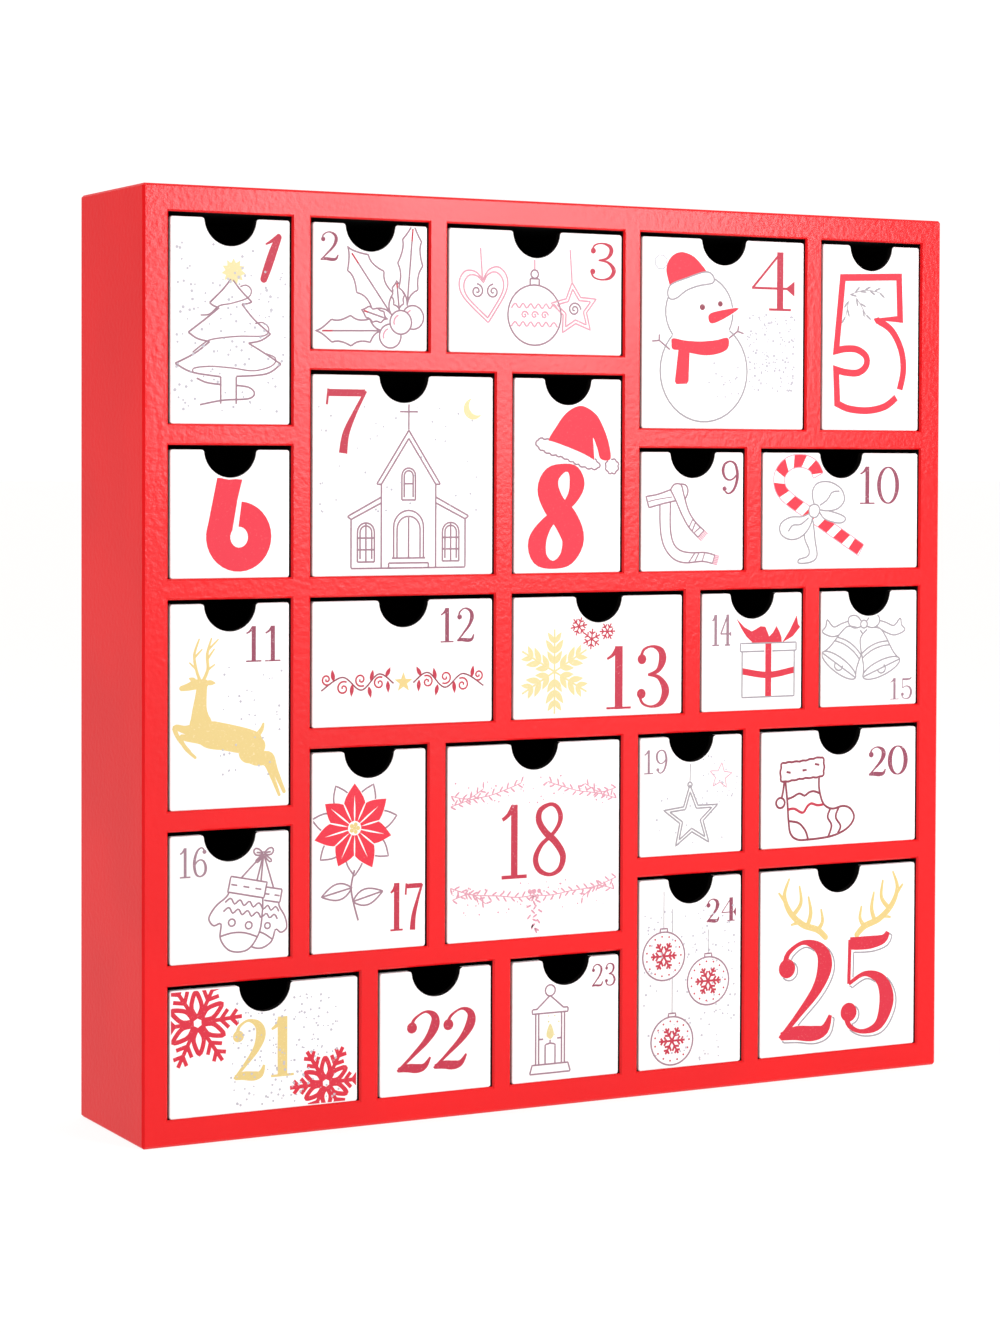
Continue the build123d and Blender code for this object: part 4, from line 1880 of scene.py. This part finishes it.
def frost_flowers(sheet: Print) -> None:
    """Leafy gold snowflake and three small red ones.

    Args:
        sheet: The print that gets them.
    """
    centre = (16.4, 16.6)
    leaves = [
        leaf((start, 0), (end, side * rise), half)
        for start, end, rise, half in ((2.6, 7.4, 3, 1.1), (6.4, 11.4, 3.6, 1.15), (10, 14, 2.8, 0.95))
        for side in (1, -1)
    ]
    sheet.flake(Ink.STRAW, centre, snow_arm(15, ()), 0.7, 30)
    sheet.fill(Ink.STRAW, *(place(part, centre, turn=30 + 60 * k) for part in leaves for k in range(6)))
    for spot, reach, turn in (((26.2, 32.4), 3.4, 10), ((31.4, 27.8), 3.7, 24), ((37.8, 30.4), 3.2, 0)):
        sheet.flake(Ink.CRIMSON, spot, snow_arm(reach, ((reach * 0.5, reach * 0.4),)), 0.55, turn)


def gift(sheet: Print) -> None:
    """Gift box with a red ribbon.

    Args:
        sheet: The print that gets it.
    """
    upright = [(27.2, 5), (29.8, 5), (29.8, 24.6), (27.2, 24.6)]
    across = [
        *smooth([(17.4, 13.2), (28.5, 11.6), (39.6, 13.2)]),
        *smooth([(39.6, 15.6), (28.5, 14), (17.4, 15.6)]),
    ]
    tails = (
        [
            (0.3, -0.4), (-6.6, -0.4), (-9.6, 2.2), (-11.8, 5.2), (-13.8, 8.8), (-10.4, 5.6), (-7.2, 4),
            (-5.4, 4.8), (-3.4, 5.8), (-1.4, 5.6), (-0.4, 3.6), (0.3, 1.9),
        ],
        [(0.3, -0.4), (0.3, 1.9), (2, 3.4), (3.5, 5.8), (4.8, 3.6), (5.7, 1.6), (5.8, -0.4)],
        [(6, -0.4), (9.5, 4.4), (12.3, 9.5), (12.9, 6.3), (13.8, 5.2), (10.6, 1.8)],
    )
    covers = [upright, across]
    sheet.fill(Ink.RUBY, upright, across)
    sheet.line(Ink.GREY, [(17.2, 21.6), (17.2, 4.8), (39.8, 4.8), (39.8, 21.6)], under=covers)
    sheet.line(Ink.GREY, [(16.4, 21.6), (40.6, 21.6), (40.6, 24.6), (16.4, 24.6)], closed=True, under=covers)
    sheet.fill(Ink.RUBY, *(place(tail, (28.5, 25)) for tail in tails), cuts=[upright])


def bells(sheet: Print) -> None:
    """Pair of bells hung from a bow.

    Args:
        sheet: The print that gets them.
    """
    ink, middle = Ink.GREY, (19.2, 30.6)
    knot = arc(middle, 1.5)
    side = [(0.9, 0), (4.6, -1.8), (6, -5.6), (6.6, -9.4), (7.4, -13), (8.9, -16)]
    walls = [*smooth(side), *reversed(smooth([(-x, y) for x, y in side]))]
    clapper = [(-2, -15.8), (-1.2, -17.6), (0.8, -17.8), (1.8, -16.4), (1.4, -15.2)]
    bands = [
        [(x, y + 1.2 * (1 - (x / reach) ** 2)) for x in (-reach, -reach / 2, 0, reach / 2, reach)]
        for y, reach in ((-7.6, 6.3), (-9.3, 6.6))
    ]
    covers: list[Outline] = []
    for at, turn in (((21.4, 28.9), 21), ((16.8, 28.9), -33)):
        put = partial(place, at=at, turn=turn)
        wall, mouth = put(walls), put(arc((0, -16), 8.9, squash=0.32))
        sheet.line(ink, wall, under=[*covers, knot])
        sheet.line(ink, mouth, closed=True, under=covers)
        sheet.curve(ink, *map(put, (clapper, *bands)), under=covers)
        covers += [wall, mouth]
    loop = blob((0.8, 0.6), (3.4, 3.2), (6.6, 2.8), (6.8, 0.2), (4.2, -1.4), (0.8, -0.6))
    tail = smooth([
        (6.4, 1.4), (10, 0.4), (13.6, -0.8), (16.4, 2), (17, -0.6), (18.6, -2.6), (14, -4.4), (9.8, -3.2),
        (5.8, -1),
    ])
    for flip in (False, True):
        wing = place(loop, middle, flip=flip)
        sheet.line(ink, wing, closed=True, under=[knot])
        sheet.line(ink, place(tail, middle, flip=flip), under=[knot, wing, *covers])
    sheet.line(ink, knot, closed=True)


def mittens(sheet: Print) -> None:
    """Pair of mittens on a bowed string.

    Args:
        sheet: The print that gets them.
    """
    ink, knot = Ink.MAUVE, (33.8, 35.6)
    hand = smooth([
        (-5.6, -4.4), (-6.4, -9), (-6.6, -15), (-4, -20.4), (1.4, -21.6), (5.4, -18.6), (6.2, -14),
        (8.4, -15), (10.4, -13), (9, -9.2), (6.2, -6), (5.6, -4.4),
    ])
    cuff = [(-6, 0.4), (-6, -4.4), (6, -4.4), (6, 0.4)]
    marks = [[(x - 1, -2), (x + 1, -2)] for x in (-3.6, 0.4, 4.4)]
    dots = [arc((x, -13.2), 1.1) for x in (-2.8, 2.8)]
    waves = [[(1.55 * k, y + (0.8 if k % 2 else -0.8)) for k in range(-4, 5)] for y in (-6.8, -9.6)]
    hem = [(-6.4, -16.2), (-2, -15.6), (2, -16.2), (5.6, -17.8)]
    covers: list[Outline] = []
    for at, turn, size, flip in (((28.4, 26.8), -12, 1.12, True), ((35, 23.8), -11, 0.94, False)):
        put = partial(place, at=at, size=size, turn=turn, flip=flip)
        palm, band = put(hand), put(cuff)
        strings = [[*put([(x, 0.4)]), knot] for x in (-2.6, 2.6)]
        sheet.line(ink, palm, *map(put, marks), *strings, under=covers)
        sheet.line(ink, band, *map(put, dots), closed=True, under=covers)
        sheet.curve(ink, *map(put, (*waves, hem)), under=covers)
        covers += [palm, band]
    bow(sheet, ink, knot, 0.36)


def poinsettia(sheet: Print) -> None:
    """Poinsettia with a stem.

    Args:
        sheet: The print that gets it.
    """
    centre, count = (16, 42.4), 7
    petals, veins, gaps = [], [], []
    for k in range(count):
        turn = 90 + 360 * k / count
        base, tip, rib = place([(1.4, 0), (15.4 - 1.2 * (k % 2), 0), (11.6, 0)], centre, turn=turn)
        petals.append(leaf(base, tip, 4.1))
        veins.append(leaf(base, rib, 0.3))
        gaps.append(leaf(*place([(2.4, 0), (11.4, 0)], centre, turn=turn + 180 / count), 0.3))
    sheet.fill(Ink.SCARLET, *petals, cuts=[*veins, *gaps, arc(centre, 2.5)])
    eyes = [arc(place([(1.3, 0)], centre, turn=a)[0], 0.75) for a in range(0, 360, 72)]
    sheet.fill(Ink.GOLD, *eyes, arc(centre, 0.6))
    for k in range(count):
        base, tip = place([(6, 0), (16.4, 0)], centre, turn=90 + 360 * (k + 0.5) / count)
        sheet.line(Ink.MAUVE, leaf(base, tip, 3.2), closed=True, under=petals)
    sheet.curve(Ink.MAUVE, [(16, 28), (14.8, 21), (17.4, 10.6)], width=0.7, under=petals)
    for base, tip in (((15, 22), (3.6, 19.4)), ((15.4, 17.2), (26.8, 20.2))):
        sheet.line(Ink.MAUVE, leaf(base, tip, 2.8), closed=True)
        sheet.line(Ink.MAUVE, [base, tip])


def garlands(sheet: Print) -> None:
    """Leafy garlands above and below the number, with a pendant.

    Args:
        sheet: The print that gets them.
    """
    ink, middle = Ink.ROSE, sheet.width / 2
    stems = (
        ([(1.2, 47.8), (9, 50), (17, 51.2), (25, 53.6), (29, 55)], 181),
        ([(1.4, 51.6), (8, 50.4), (14, 53.6)], 182),
        ([(1.2, 19.4), (10, 16.6), (20, 15.6), (28, 14.6), (34, 15)], 183),
        ([(2, 15.2), (9, 16.8), (15, 13.2)], 184),
    )
    for stem, seed in stems:
        for line in paired([stem], middle):
            sheet.curve(ink, line, width=0.4)
            sheet.sprig(ink, line, 1.5, (2.6, 0.7), seed)
    for side in (-1, 1):
        drop = [(middle, 14.8), (middle + 1.4 * side, 9.4), (middle, 3.4)]
        sheet.sprig(ink, drop, 1.6, (2.4, 0.8), 185)
    sheet.fill(ink, *(arc((middle + x, 16.4), 0.8) for x in (-1.9, 0, 1.9)))
    sheet.specks(ink, (2, 46, 66, 57), 40, 186, (0.2, 0.4))
    sheet.specks(ink, (2, 9, 66, 20), 40, 187, (0.2, 0.4))


def hanging_star(sheet: Print) -> None:
    """Star on a string.

    Args:
        sheet: The print that gets it.
    """
    stars = [star((21.6, 13.4), outer, inner, turn=93) for outer, inner in ((12, 5.2), (9.4, 3.9))]
    sheet.line(Ink.GREY, *stars, arc((21, 25.4), 0.9), closed=True)
    sheet.line(Ink.GREY, [(21, 26.4), (21.2, 33)], width=0.4)
    sheet.line(Ink.ROSE, star((34, 28), 5, 2.2, turn=84), closed=True, width=0.4)
    sheet.specks(Ink.MIST, (26, 16, 41, 36), 34, 191, (0.22, 0.42))
    sheet.specks(Ink.MIST, (4, 3, 38, 24), 20, 192, (0.22, 0.42))


def stocking(sheet: Print) -> None:
    """Hung stocking with patterned bands.

    Args:
        sheet: The print that gets it.
    """
    ink, wide = Ink.MAROON, 0.85
    cuff = blob(
        (8.8, 30.4), (10, 31.4), (18, 31.8), (26, 32.8), (27.2, 31.4), (27.2, 27.4), (26, 26), (18, 25.6),
        (10, 24.8), (8.6, 26),
    )
    foot = smooth([
        (10.5, 24.8), (11.4, 17.4), (12, 9.9), (12.9, 5.2), (15.6, 3), (20, 2.6), (31, 3.4), (38, 6),
        (41, 9.8), (39.4, 13.2), (36, 14.4), (31.2, 13.6), (27.4, 15.6), (25.5, 20.8), (25.3, 26),
    ])
    bands = (
        [(11, 18), (13.6, 18.7), (16.7, 20), (18.9, 19), (21, 20.2), (23.2, 20.5), (25.6, 19.6)],
        [(12, 9.9), (16.4, 9), (19.4, 6), (20.6, 2.7)],
        [(30.4, 13.6), (29.2, 10.6), (31, 7.4), (29.6, 3.4)],
        [(34.2, 14), (32.8, 10.4), (35, 7), (33.8, 4.4)],
        [(10, 24.6), (9.6, 21.4), (9, 18.8)],
    )
    wave = [(11.8, 14.2), (14.5, 14.4), (18.2, 12.7), (20.2, 15), (22, 16), (24.6, 15.2), (27.2, 15.4)]
    marks = ([(11, 28.2), (12.8, 27.8)], [(18, 28.4), (19.8, 28.6)], [(23.4, 30.6), (25.4, 30.2)])
    sheet.line(ink, fluffy(cuff, 16, 0.3), closed=True, width=wide)
    sheet.line(ink, foot, width=wide, under=[cuff])
    sheet.curve(ink, *bands, width=wide)
    sheet.curve(Ink.CRIMSON, wave, width=1.0)
    sheet.line(ink, arc((8.4, 16.8), 1.9), closed=True, width=wide, under=[foot])
    sheet.line(ink, *marks, width=wide)


def bold_flakes(sheet: Print) -> None:
    """Two broad red snowflakes that run off the edges.

    Args:
        sheet: The print that gets them.
    """
    petal = [(0.1, 0), (0.3, 0.11), (0.48, 0.09), (0.66, 0), (0.48, -0.09), (0.3, -0.11), (0.1, 0)]
    petal = smooth(petal, step=0.1)
    for centre, reach, turn in (((10, 31.6), 16, 4), ((57, 7.2), 13.4, 2)):
        twigs = snow_arm(reach, ((reach * 0.52, reach * 0.26), (reach * 0.75, reach * 0.22)), 48)[1:]
        loop = [(reach * x, reach * y) for x, y in petal]
        sheet.flake(Ink.RUBY, centre, [[(reach * 0.1, 0), (reach, 0)], *twigs], 1.4, turn)
        sheet.flake(Ink.RUBY, centre, [loop], 1.6, turn + 30, height=0.09)
    sheet.specks(Ink.MIST, (22, 2, 62, 39), 190, 211, (0.26, 0.5))


def lantern(sheet: Print) -> None:
    """Candle lantern.

    Args:
        sheet: The print that gets it.
    """
    ink, middle = Ink.MAUVE, 15.2
    half = (
        [(middle, 30.4), (9.8, 25.8), (8, 25.8), (8, 24.2), (middle, 24.2)],
        [(9.4, 24.2), (9.4, 6)], [(10.6, 24.2), (10.6, 6)], [(10.6, 15), (12.4, 15)],
        [(middle, 6), (8, 6), (7, 2.8), (middle, 2.8)], [(13.2, 6), (13.2, 13), (middle, 13.4)],
    )
    flame = blob((middle, 14.8), (middle + 1.5, 16.6), (middle, 20.4), (middle - 1.5, 16.6))
    sheet.line(ink, *paired(half, middle), [(middle, 13.4), (middle, 14.6)])
    sheet.line(ink, arc((middle, 32.2), 2), closed=True)
    sheet.fill(Ink.STRAW, flame)
    sheet.specks(Ink.STRAW, (10.8, 15, 19.6, 23.6), 9, 231, (0.2, 0.4))


def baubles(sheet: Print) -> None:
    """Three hanging baubles, each with a snowflake.

    Args:
        sheet: The print that gets them.
    """
    covers: list[Outline] = []
    for x, y, top in ((10.3, 40.9, 64.3), (29.1, 30.6, 49.4), (13.9, 9.9, 57.8)):
        ball = arc((x, y), 8.8)
        cap = [(x - 1.5, y + 8.6), (x - 1.5, y + 10.0), (x + 1.5, y + 10.0), (x + 1.5, y + 8.6)]
        sheet.line(Ink.MAUVE, ball, closed=True, under=covers)
        sheet.line(Ink.MAUVE, cap, under=covers)
        sheet.line(Ink.GREY, [(x, y + 10.0), (x, top)], width=0.35, under=covers)
        sheet.flake(Ink.CRIMSON, (x, y), snow_arm(5.4, ((2.2, 1.9), (3.8, 1.5))), 0.8)
        rim = [place([(7.2, 0)], (x, y), turn=a)[0] for a in range(0, 360, 24)]
        sheet.fill(Ink.CRIMSON, *(arc(spot, 0.36) for spot in rim))
        covers.append(ball)
    sheet.specks(Ink.MIST, (2, 2, 41, 58), 130, 241, (0.26, 0.5))


def antlers(sheet: Print) -> None:
    """Pair of gold antlers over the number, which has a thin line set off from it.

    Args:
        sheet: The print that gets them.
    """
    horn = (
        [
            (28.6, 43, 2.2), (25, 46, 2.4), (18.4, 48.4, 2.4), (12.8, 53.4, 2.2), (10.4, 59.6, 1.6),
            (12.4, 65.6, 0.8),
        ],
        [(20.4, 47.4, 1.8), (22, 52.4, 1.6), (21, 58.4, 0.8)],
        [(14.2, 52, 1.8), (17.6, 56.4, 1.5), (17, 62.6, 0.8)],
        [(25.2, 45.8, 1.8), (27.2, 49, 1.4), (26.6, 53.4, 0.8)],
        [(10.8, 57.4, 1.6), (8, 60.6, 0.8)], [(17, 49.4, 1.6), (13.6, 48.6, 0.8)],
    )
    number = numeral("25", DESIGNS[25].box, DESIGNS[25].face.value)
    sheet.fill(Ink.GOLD, *strokes(*paired(horn, 35.6)), cuts=number)
    shadow = [[(x + 1.1, y - 1) for x, y in loop] for loop in Film.of(number, []).loops()]
    sheet.line(Ink.GREY, *shadow, closed=True, width=0.6, under=number)


@dataclass(frozen=True)
class Design:
    """Number and ornament of one drawer front. Without a box, the ornament holds the number itself."""

    box: Box | None = None
    face: Lettering = Lettering.FINE
    ink: Ink = Ink.CRIMSON
    ornament: Callable[[Print], None] | None = None

    def draw(self, sheet: Print, text: str) -> None:
        """Draw the number, then the ornament.

        Args:
            sheet: The print that gets them.
            text: The number.
        """
        if self.box:
            sheet.number(self.ink, text, self.box, self.face)
        if self.ornament:
            self.ornament(sheet)


DESIGNS = {
    1: Design(ornament=spruce),
    2: Design((2.4, 30, 9.6, 40), Lettering.LIGHT, Ink.BERRY, holly),
    3: Design((55, 26.6, 66.6, 40), Lettering.LIGHT, Ink.CRIMSON, tree_ornaments),
    4: Design((46, 43.5, 64.4, 65), Lettering.LIGHT, Ink.CRIMSON, snowman),
    5: Design(ornament=outlined_five),
    6: Design(ornament=block_six),
    7: Design((5, 42, 20.4, 64.4), Lettering.MODERN, Ink.CRIMSON, chapel),
    8: Design((6, 2.2, 30, 38), Lettering.FAT, Ink.SCARLET, cap_eight),
    9: Design((33.2, 27.8, 41.4, 40), Lettering.FINE, Ink.BERRY, scarf),
    10: Design((42.4, 24, 60.2, 38), Lettering.LIGHT, Ink.BERRY, candy_cane),
    11: Design((27, 49, 39.8, 61), Lettering.LIGHT, Ink.BERRY, deer),
    12: Design((48.4, 28, 61.8, 40), Lettering.LIGHT, Ink.BERRY, scroll),
    13: Design((37, 2.4, 63.2, 25), Lettering.MODERN, Ink.CRIMSON, frost_flowers),
    14: Design((4.2, 24, 12.4, 35.4), Lettering.FINE, Ink.MAUVE, gift),
    15: Design((31, 1.9, 41.2, 10), Lettering.LIGHT, Ink.MAUVE, bells),
    16: Design((3.4, 29, 13.6, 39), Lettering.FINE, Ink.MAUVE, mittens),
    17: Design((29.4, 6, 42, 22.6), Lettering.LIGHT, Ink.CRIMSON, poinsettia),
    18: Design((20.8, 21.4, 47.8, 47.4), Lettering.FINE, Ink.CRIMSON, garlands),
    19: Design((1.6, 30, 11.6, 38.6), Lettering.FINE, Ink.MAUVE, hanging_star),
    20: Design((47, 25, 64.8, 36), Lettering.DISPLAY, Ink.BERRY, stocking),
    21: Design((22.4, 11, 45, 31.4), Lettering.DISPLAY, Ink.GOLD, bold_flakes),
    22: Design((5.6, 8, 38.4, 29), Lettering.ITALIC, Ink.CRIMSON),
    23: Design((31.8, 32, 41.8, 40.2), Lettering.FINE, Ink.BERRY, lantern),
    24: Design((28, 51.9, 40.8, 60.5), Lettering.DISPLAY, Ink.BERRY, baubles),
    25: Design((7, 5.6, 58.4, 42.4), Lettering.DISPLAY, Ink.RUBY, antlers),
}


# Case, drawers and studio


CASE_BOARDS = (
    "left_side", "right_side", "top_board", "bottom_board", "middle_shelf", "lower_shelf", "column_divider",
    "short_shelves", "short_dividers", "back_panel",
)


@dataclass
class Case:
    """The painted boards, and the pins that hold the back panel."""

    boards: tuple[str, ...] = CASE_BOARDS
    pin_count: int = 24
    pin_radius: float = 1.1 * MM
    pin_height: float = 0.45 * MM
    pin_inset: float = 2.6 * MM
    # Painted shade box: how far it reaches past the bays' inner faces, and how far behind the front edge it
    # starts
    overspray: float = 0.3 * MM
    wrap: float = 0.9 * MM

    def dress(self, nodes: CadNodes) -> list[bpy.types.Object]:
        """Paint the boards red, with a near-black painted shade in the bays behind their front edges.

        Args:
            nodes: CAD nodes by name.

        Returns:
            The painted boards.
        """
        left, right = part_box("left_side"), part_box("right_side")
        bottom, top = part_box("bottom_board"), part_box("top_board")
        past = self.overspray
        low = (left[1].x - past, left[0].y + self.wrap, bottom[1].z - past)
        high = (right[0].x + past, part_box("back_panel")[0].y + past, top[0].z + past)
        paint = replace(RED_PAINT, bay_low=low, bay_high=high, flank_from=right[1].x - self.wrap).material()
        for name in self.boards:
            for slot in nodes[name].material_slots:
                slot.material = paint
            nodes[name]
        return [nodes[name] for name in self.boards]

    def pins(self) -> bpy.types.Object:
        """Drive pins round the edge of the back panel.

        Returns:
            The pins.
        """
        low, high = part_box("back_panel")
        inset = Vector((self.pin_inset, 0, self.pin_inset))
        low, high = low + inset, high - inset
        corners = ((low.x, low.z), (high.x, low.z), (high.x, high.z), (low.x, high.z))
        path = curve_data([([(x, high.y, z) for x, z in corners], True)])
        sizes = {"Count": self.pin_count, "Radius": self.pin_radius, "Height": self.pin_height}
        mesh = grow(pin_tree(), path, **sizes, Steel=PIN_STEEL.material())
        mesh.name = "back_panel_pins"
        pins = add_object("back_panel_pins", mesh)
        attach(pins, "case")
        return pins


@dataclass
class Drawer:
    """One drawer: its eased white front, the print on it and its black tray."""

    number: int
    arris: float = 0.35 * MM
    arris_steps: int = 2
    weld: float = 0.001 * MM
    flat_angle: float = math.radians(0.5)
    rim_angle: float = math.radians(60)
    sharp_angle: float = math.radians(50)
    notch_reach: float = 10.5 * MM
    wall_lean: float = 0.5
    finishes: tuple[Finish, Finish] = (WHITE_PAINT, BLACK_STAIN)

    @property
    def label(self) -> str:
        """Two-digit number used in names."""
        return f"{self.number:02d}"

    def ease_front(self, nodes: CadNodes) -> bpy.types.Object:
        """Copy the front and take off its sharp edges.

        Args:
            nodes: CAD nodes by name.

        Returns:
            The eased front.
        """
        node = f"drawer_front_{self.label}"
        work = bmesh.new()
        work.from_mesh(nodes[node].data)
        bmesh.ops.remove_doubles(work, verts=work.verts, dist=self.weld)
        bmesh.ops.dissolve_limit(work, angle_limit=self.flat_angle, verts=work.verts, edges=work.edges)
        rims = [edge for edge in work.edges if edge.calc_face_angle(0.0) > self.rim_angle]
        bmesh.ops.bevel(
            work, geom=rims, offset=self.arris, segments=self.arris_steps, profile=0.5, affect="EDGES",
            clamp_overlap=False,
        )
        bmesh.ops.recalc_face_normals(work, faces=work.faces)
        self.stain_notch(work)
        name = f"drawer_{self.label}_painted_front"
        mesh = bpy.data.meshes.new(name)
        work.to_mesh(mesh)
        work.free()
        mesh.shade_smooth()
        mesh.set_sharp_from_angle(angle=self.sharp_angle)
        for finish in self.finishes:
            mesh.materials.append(finish.material())
        front = add_object(name, mesh)
        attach(front, f"drawer_{self.label}")
        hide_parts(node)
        return front

    def stain_notch(self, work: bmesh.types.BMesh) -> None:
        """Give the wall of the finger notch the stain.

        Args:
            work: The front's mesh.
        """
        low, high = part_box(f"drawer_front_{self.label}")
        middle = (low.x + high.x) / 2
        work.normal_update()
        for face in work.faces:
            spot = face.calc_center_median()
            near = math.hypot(spot.x - middle, spot.z - high.z) < self.notch_reach
            if near and abs(face.normal.y) < self.wall_lean:
                face.material_index = self.finishes.index(BLACK_STAIN)

    def stain_tray(self, nodes: CadNodes) -> bpy.types.Object:
        """Stain the tray black.

        Args:
            nodes: CAD nodes by name.

        Returns:
            The stained tray.
        """
        tray = nodes[f"drawer_tray_{self.label}"]
        for slot in tray.material_slots:
            slot.material = BLACK_STAIN.material()
        return tray

    def print_front(self, design: Design) -> bpy.types.Object:
        """Print the number and ornament on the front.

        Args:
            design: What is printed.

        Returns:
            The print.
        """
        low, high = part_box(f"drawer_front_{self.label}")
        sheet = Print((high.x - low.x) / MM, (high.z - low.z) / MM)
        design.draw(sheet, str(self.number))
        piece = sheet.build(f"drawer_{self.label}_print", low)
        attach(piece, f"drawer_{self.label}")
        return piece


@dataclass(frozen=True)
class SoftBox:
    """A rectangular soft light, placed in metres."""

    name: str
    at: Point
    size: Range
    watts: float

    def hang(self, aim: Point, colour: str) -> None:
        """Hang the light so that it faces a point.

        Args:
            aim: The point.
            colour: Colour of the light.
        """
        lamp = bpy.data.lights.new(self.name, "AREA")
        lamp.shape = "RECTANGLE"
        lamp.size, lamp.size_y = self.size
        lamp.energy = self.watts
        lamp.color = linear(colour)[:3]
        box = add_object(self.name, lamp)
        box.location = self.at
        box.rotation_euler = (Vector(aim) - Vector(self.at)).to_track_quat("-Z", "Y").to_euler()


@dataclass
class Studio:
    """Pale floor, soft light and the camera that took the photograph."""

    floor_size: float = 60.0
    wall_way: Point = (0.45, 0.89, 0.0)
    wall_levels: Range = (0.14, 1.05)
    ceiling_level: float = 0.8
    fade: Range = (0.5, 0.9)
    lamps: tuple[SoftBox, ...] = (
        SoftBox("tall_soft_box", (0.67, -1.42, 0.66), (0.55, 0.9), 22.0),
        SoftBox("side_fill", (-1.2, 0.3, 1.2), (1.2, 1.2), 14.0),
    )
    lamp_colour: str = "#FDFAFF"
    aim: Point = (0.0, -0.03, 0.22)
    camera_place: Point = (-0.5269, -0.9917, 0.2291)
    camera_turn: Point = (88.563, -0.223, -28.270)
    lens_mm: float = 83.64
    shift: Range = (-0.0334, -0.0964)

    def lay_floor(self) -> None:
        """Lay the floor that the cabinet stands on."""
        half = self.floor_size / 2
        mesh = bpy.data.meshes.new("floor")
        corners = [(-half, -half, 0), (half, -half, 0), (half, half, 0), (-half, half, 0)]
        mesh.from_pydata(corners, [], [(0, 1, 2, 3)])
        mesh.materials.append(FLOOR_SHEET.material())
        add_object("floor", mesh)

    def light(self) -> None:
        """Light the room from a bright far wall, the ceiling and two soft boxes."""
        world = bpy.data.worlds.new("studio")
        world.use_nodes = True
        tree = world.node_tree
        tree.nodes.clear()
        toward = add_node(tree, "ShaderNodeTexCoord").outputs["Generated"]
        far = add_node(tree, "ShaderNodeVectorMath", {0: toward, 1: self.wall_way}, operation="DOT_PRODUCT")
        up = add_node(tree, "ShaderNodeSeparateXYZ", {"Vector": toward}).outputs["Z"]
        fade = {"From Min": self.fade[0], "From Max": self.fade[1]}
        wall = {"Value": far, **fade, "To Min": self.wall_levels[0], "To Max": self.wall_levels[1]}
        wall = add_node(tree, "ShaderNodeMapRange", wall)
        ceiling = add_node(tree, "ShaderNodeMapRange", {"Value": up, **fade, "To Max": self.ceiling_level})
        level = add_node(tree, "ShaderNodeMath", {0: wall, 1: ceiling}, operation="ADD")
        air = add_node(tree, "ShaderNodeBackground", {"Color": linear("#FFFFFF"), "Strength": level})
        add_node(tree, "ShaderNodeOutputWorld", {"Surface": air})
        bpy.context.scene.world = world
        for lamp in self.lamps:
            lamp.hang(self.aim, self.lamp_colour)

    def set_camera(self) -> None:
        """Set the camera where the photograph was taken."""
        data = bpy.data.cameras.new("camera")
        data.lens = self.lens_mm
        data.shift_x, data.shift_y = self.shift
        camera = add_object("camera", data)
        camera.location = self.camera_place
        camera.rotation_euler = Euler([math.radians(angle) for angle in self.camera_turn])
        bpy.context.scene.camera = camera


def main() -> None:
    """Build the calendar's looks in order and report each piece."""
    logging.basicConfig(level=logging.INFO, format="%(message)s")
    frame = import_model()
    nodes = frame["nodes"]
    bpy.context.scene.view_settings.view_transform = "Standard"
    case = Case()
    pieces = [*case.dress(nodes), case.pins()]
    for number, design in DESIGNS.items():
        drawer = Drawer(number)
        pieces += [drawer.ease_front(nodes), drawer.stain_tray(nodes), drawer.print_front(design)]
    for piece in pieces:
        LOG.info("%s: %d faces", piece.name, len(piece.data.polygons))
    studio = Studio()
    studio.lay_floor()
    studio.light()
    studio.set_camera()


if __name__ == "__main__":
    main()
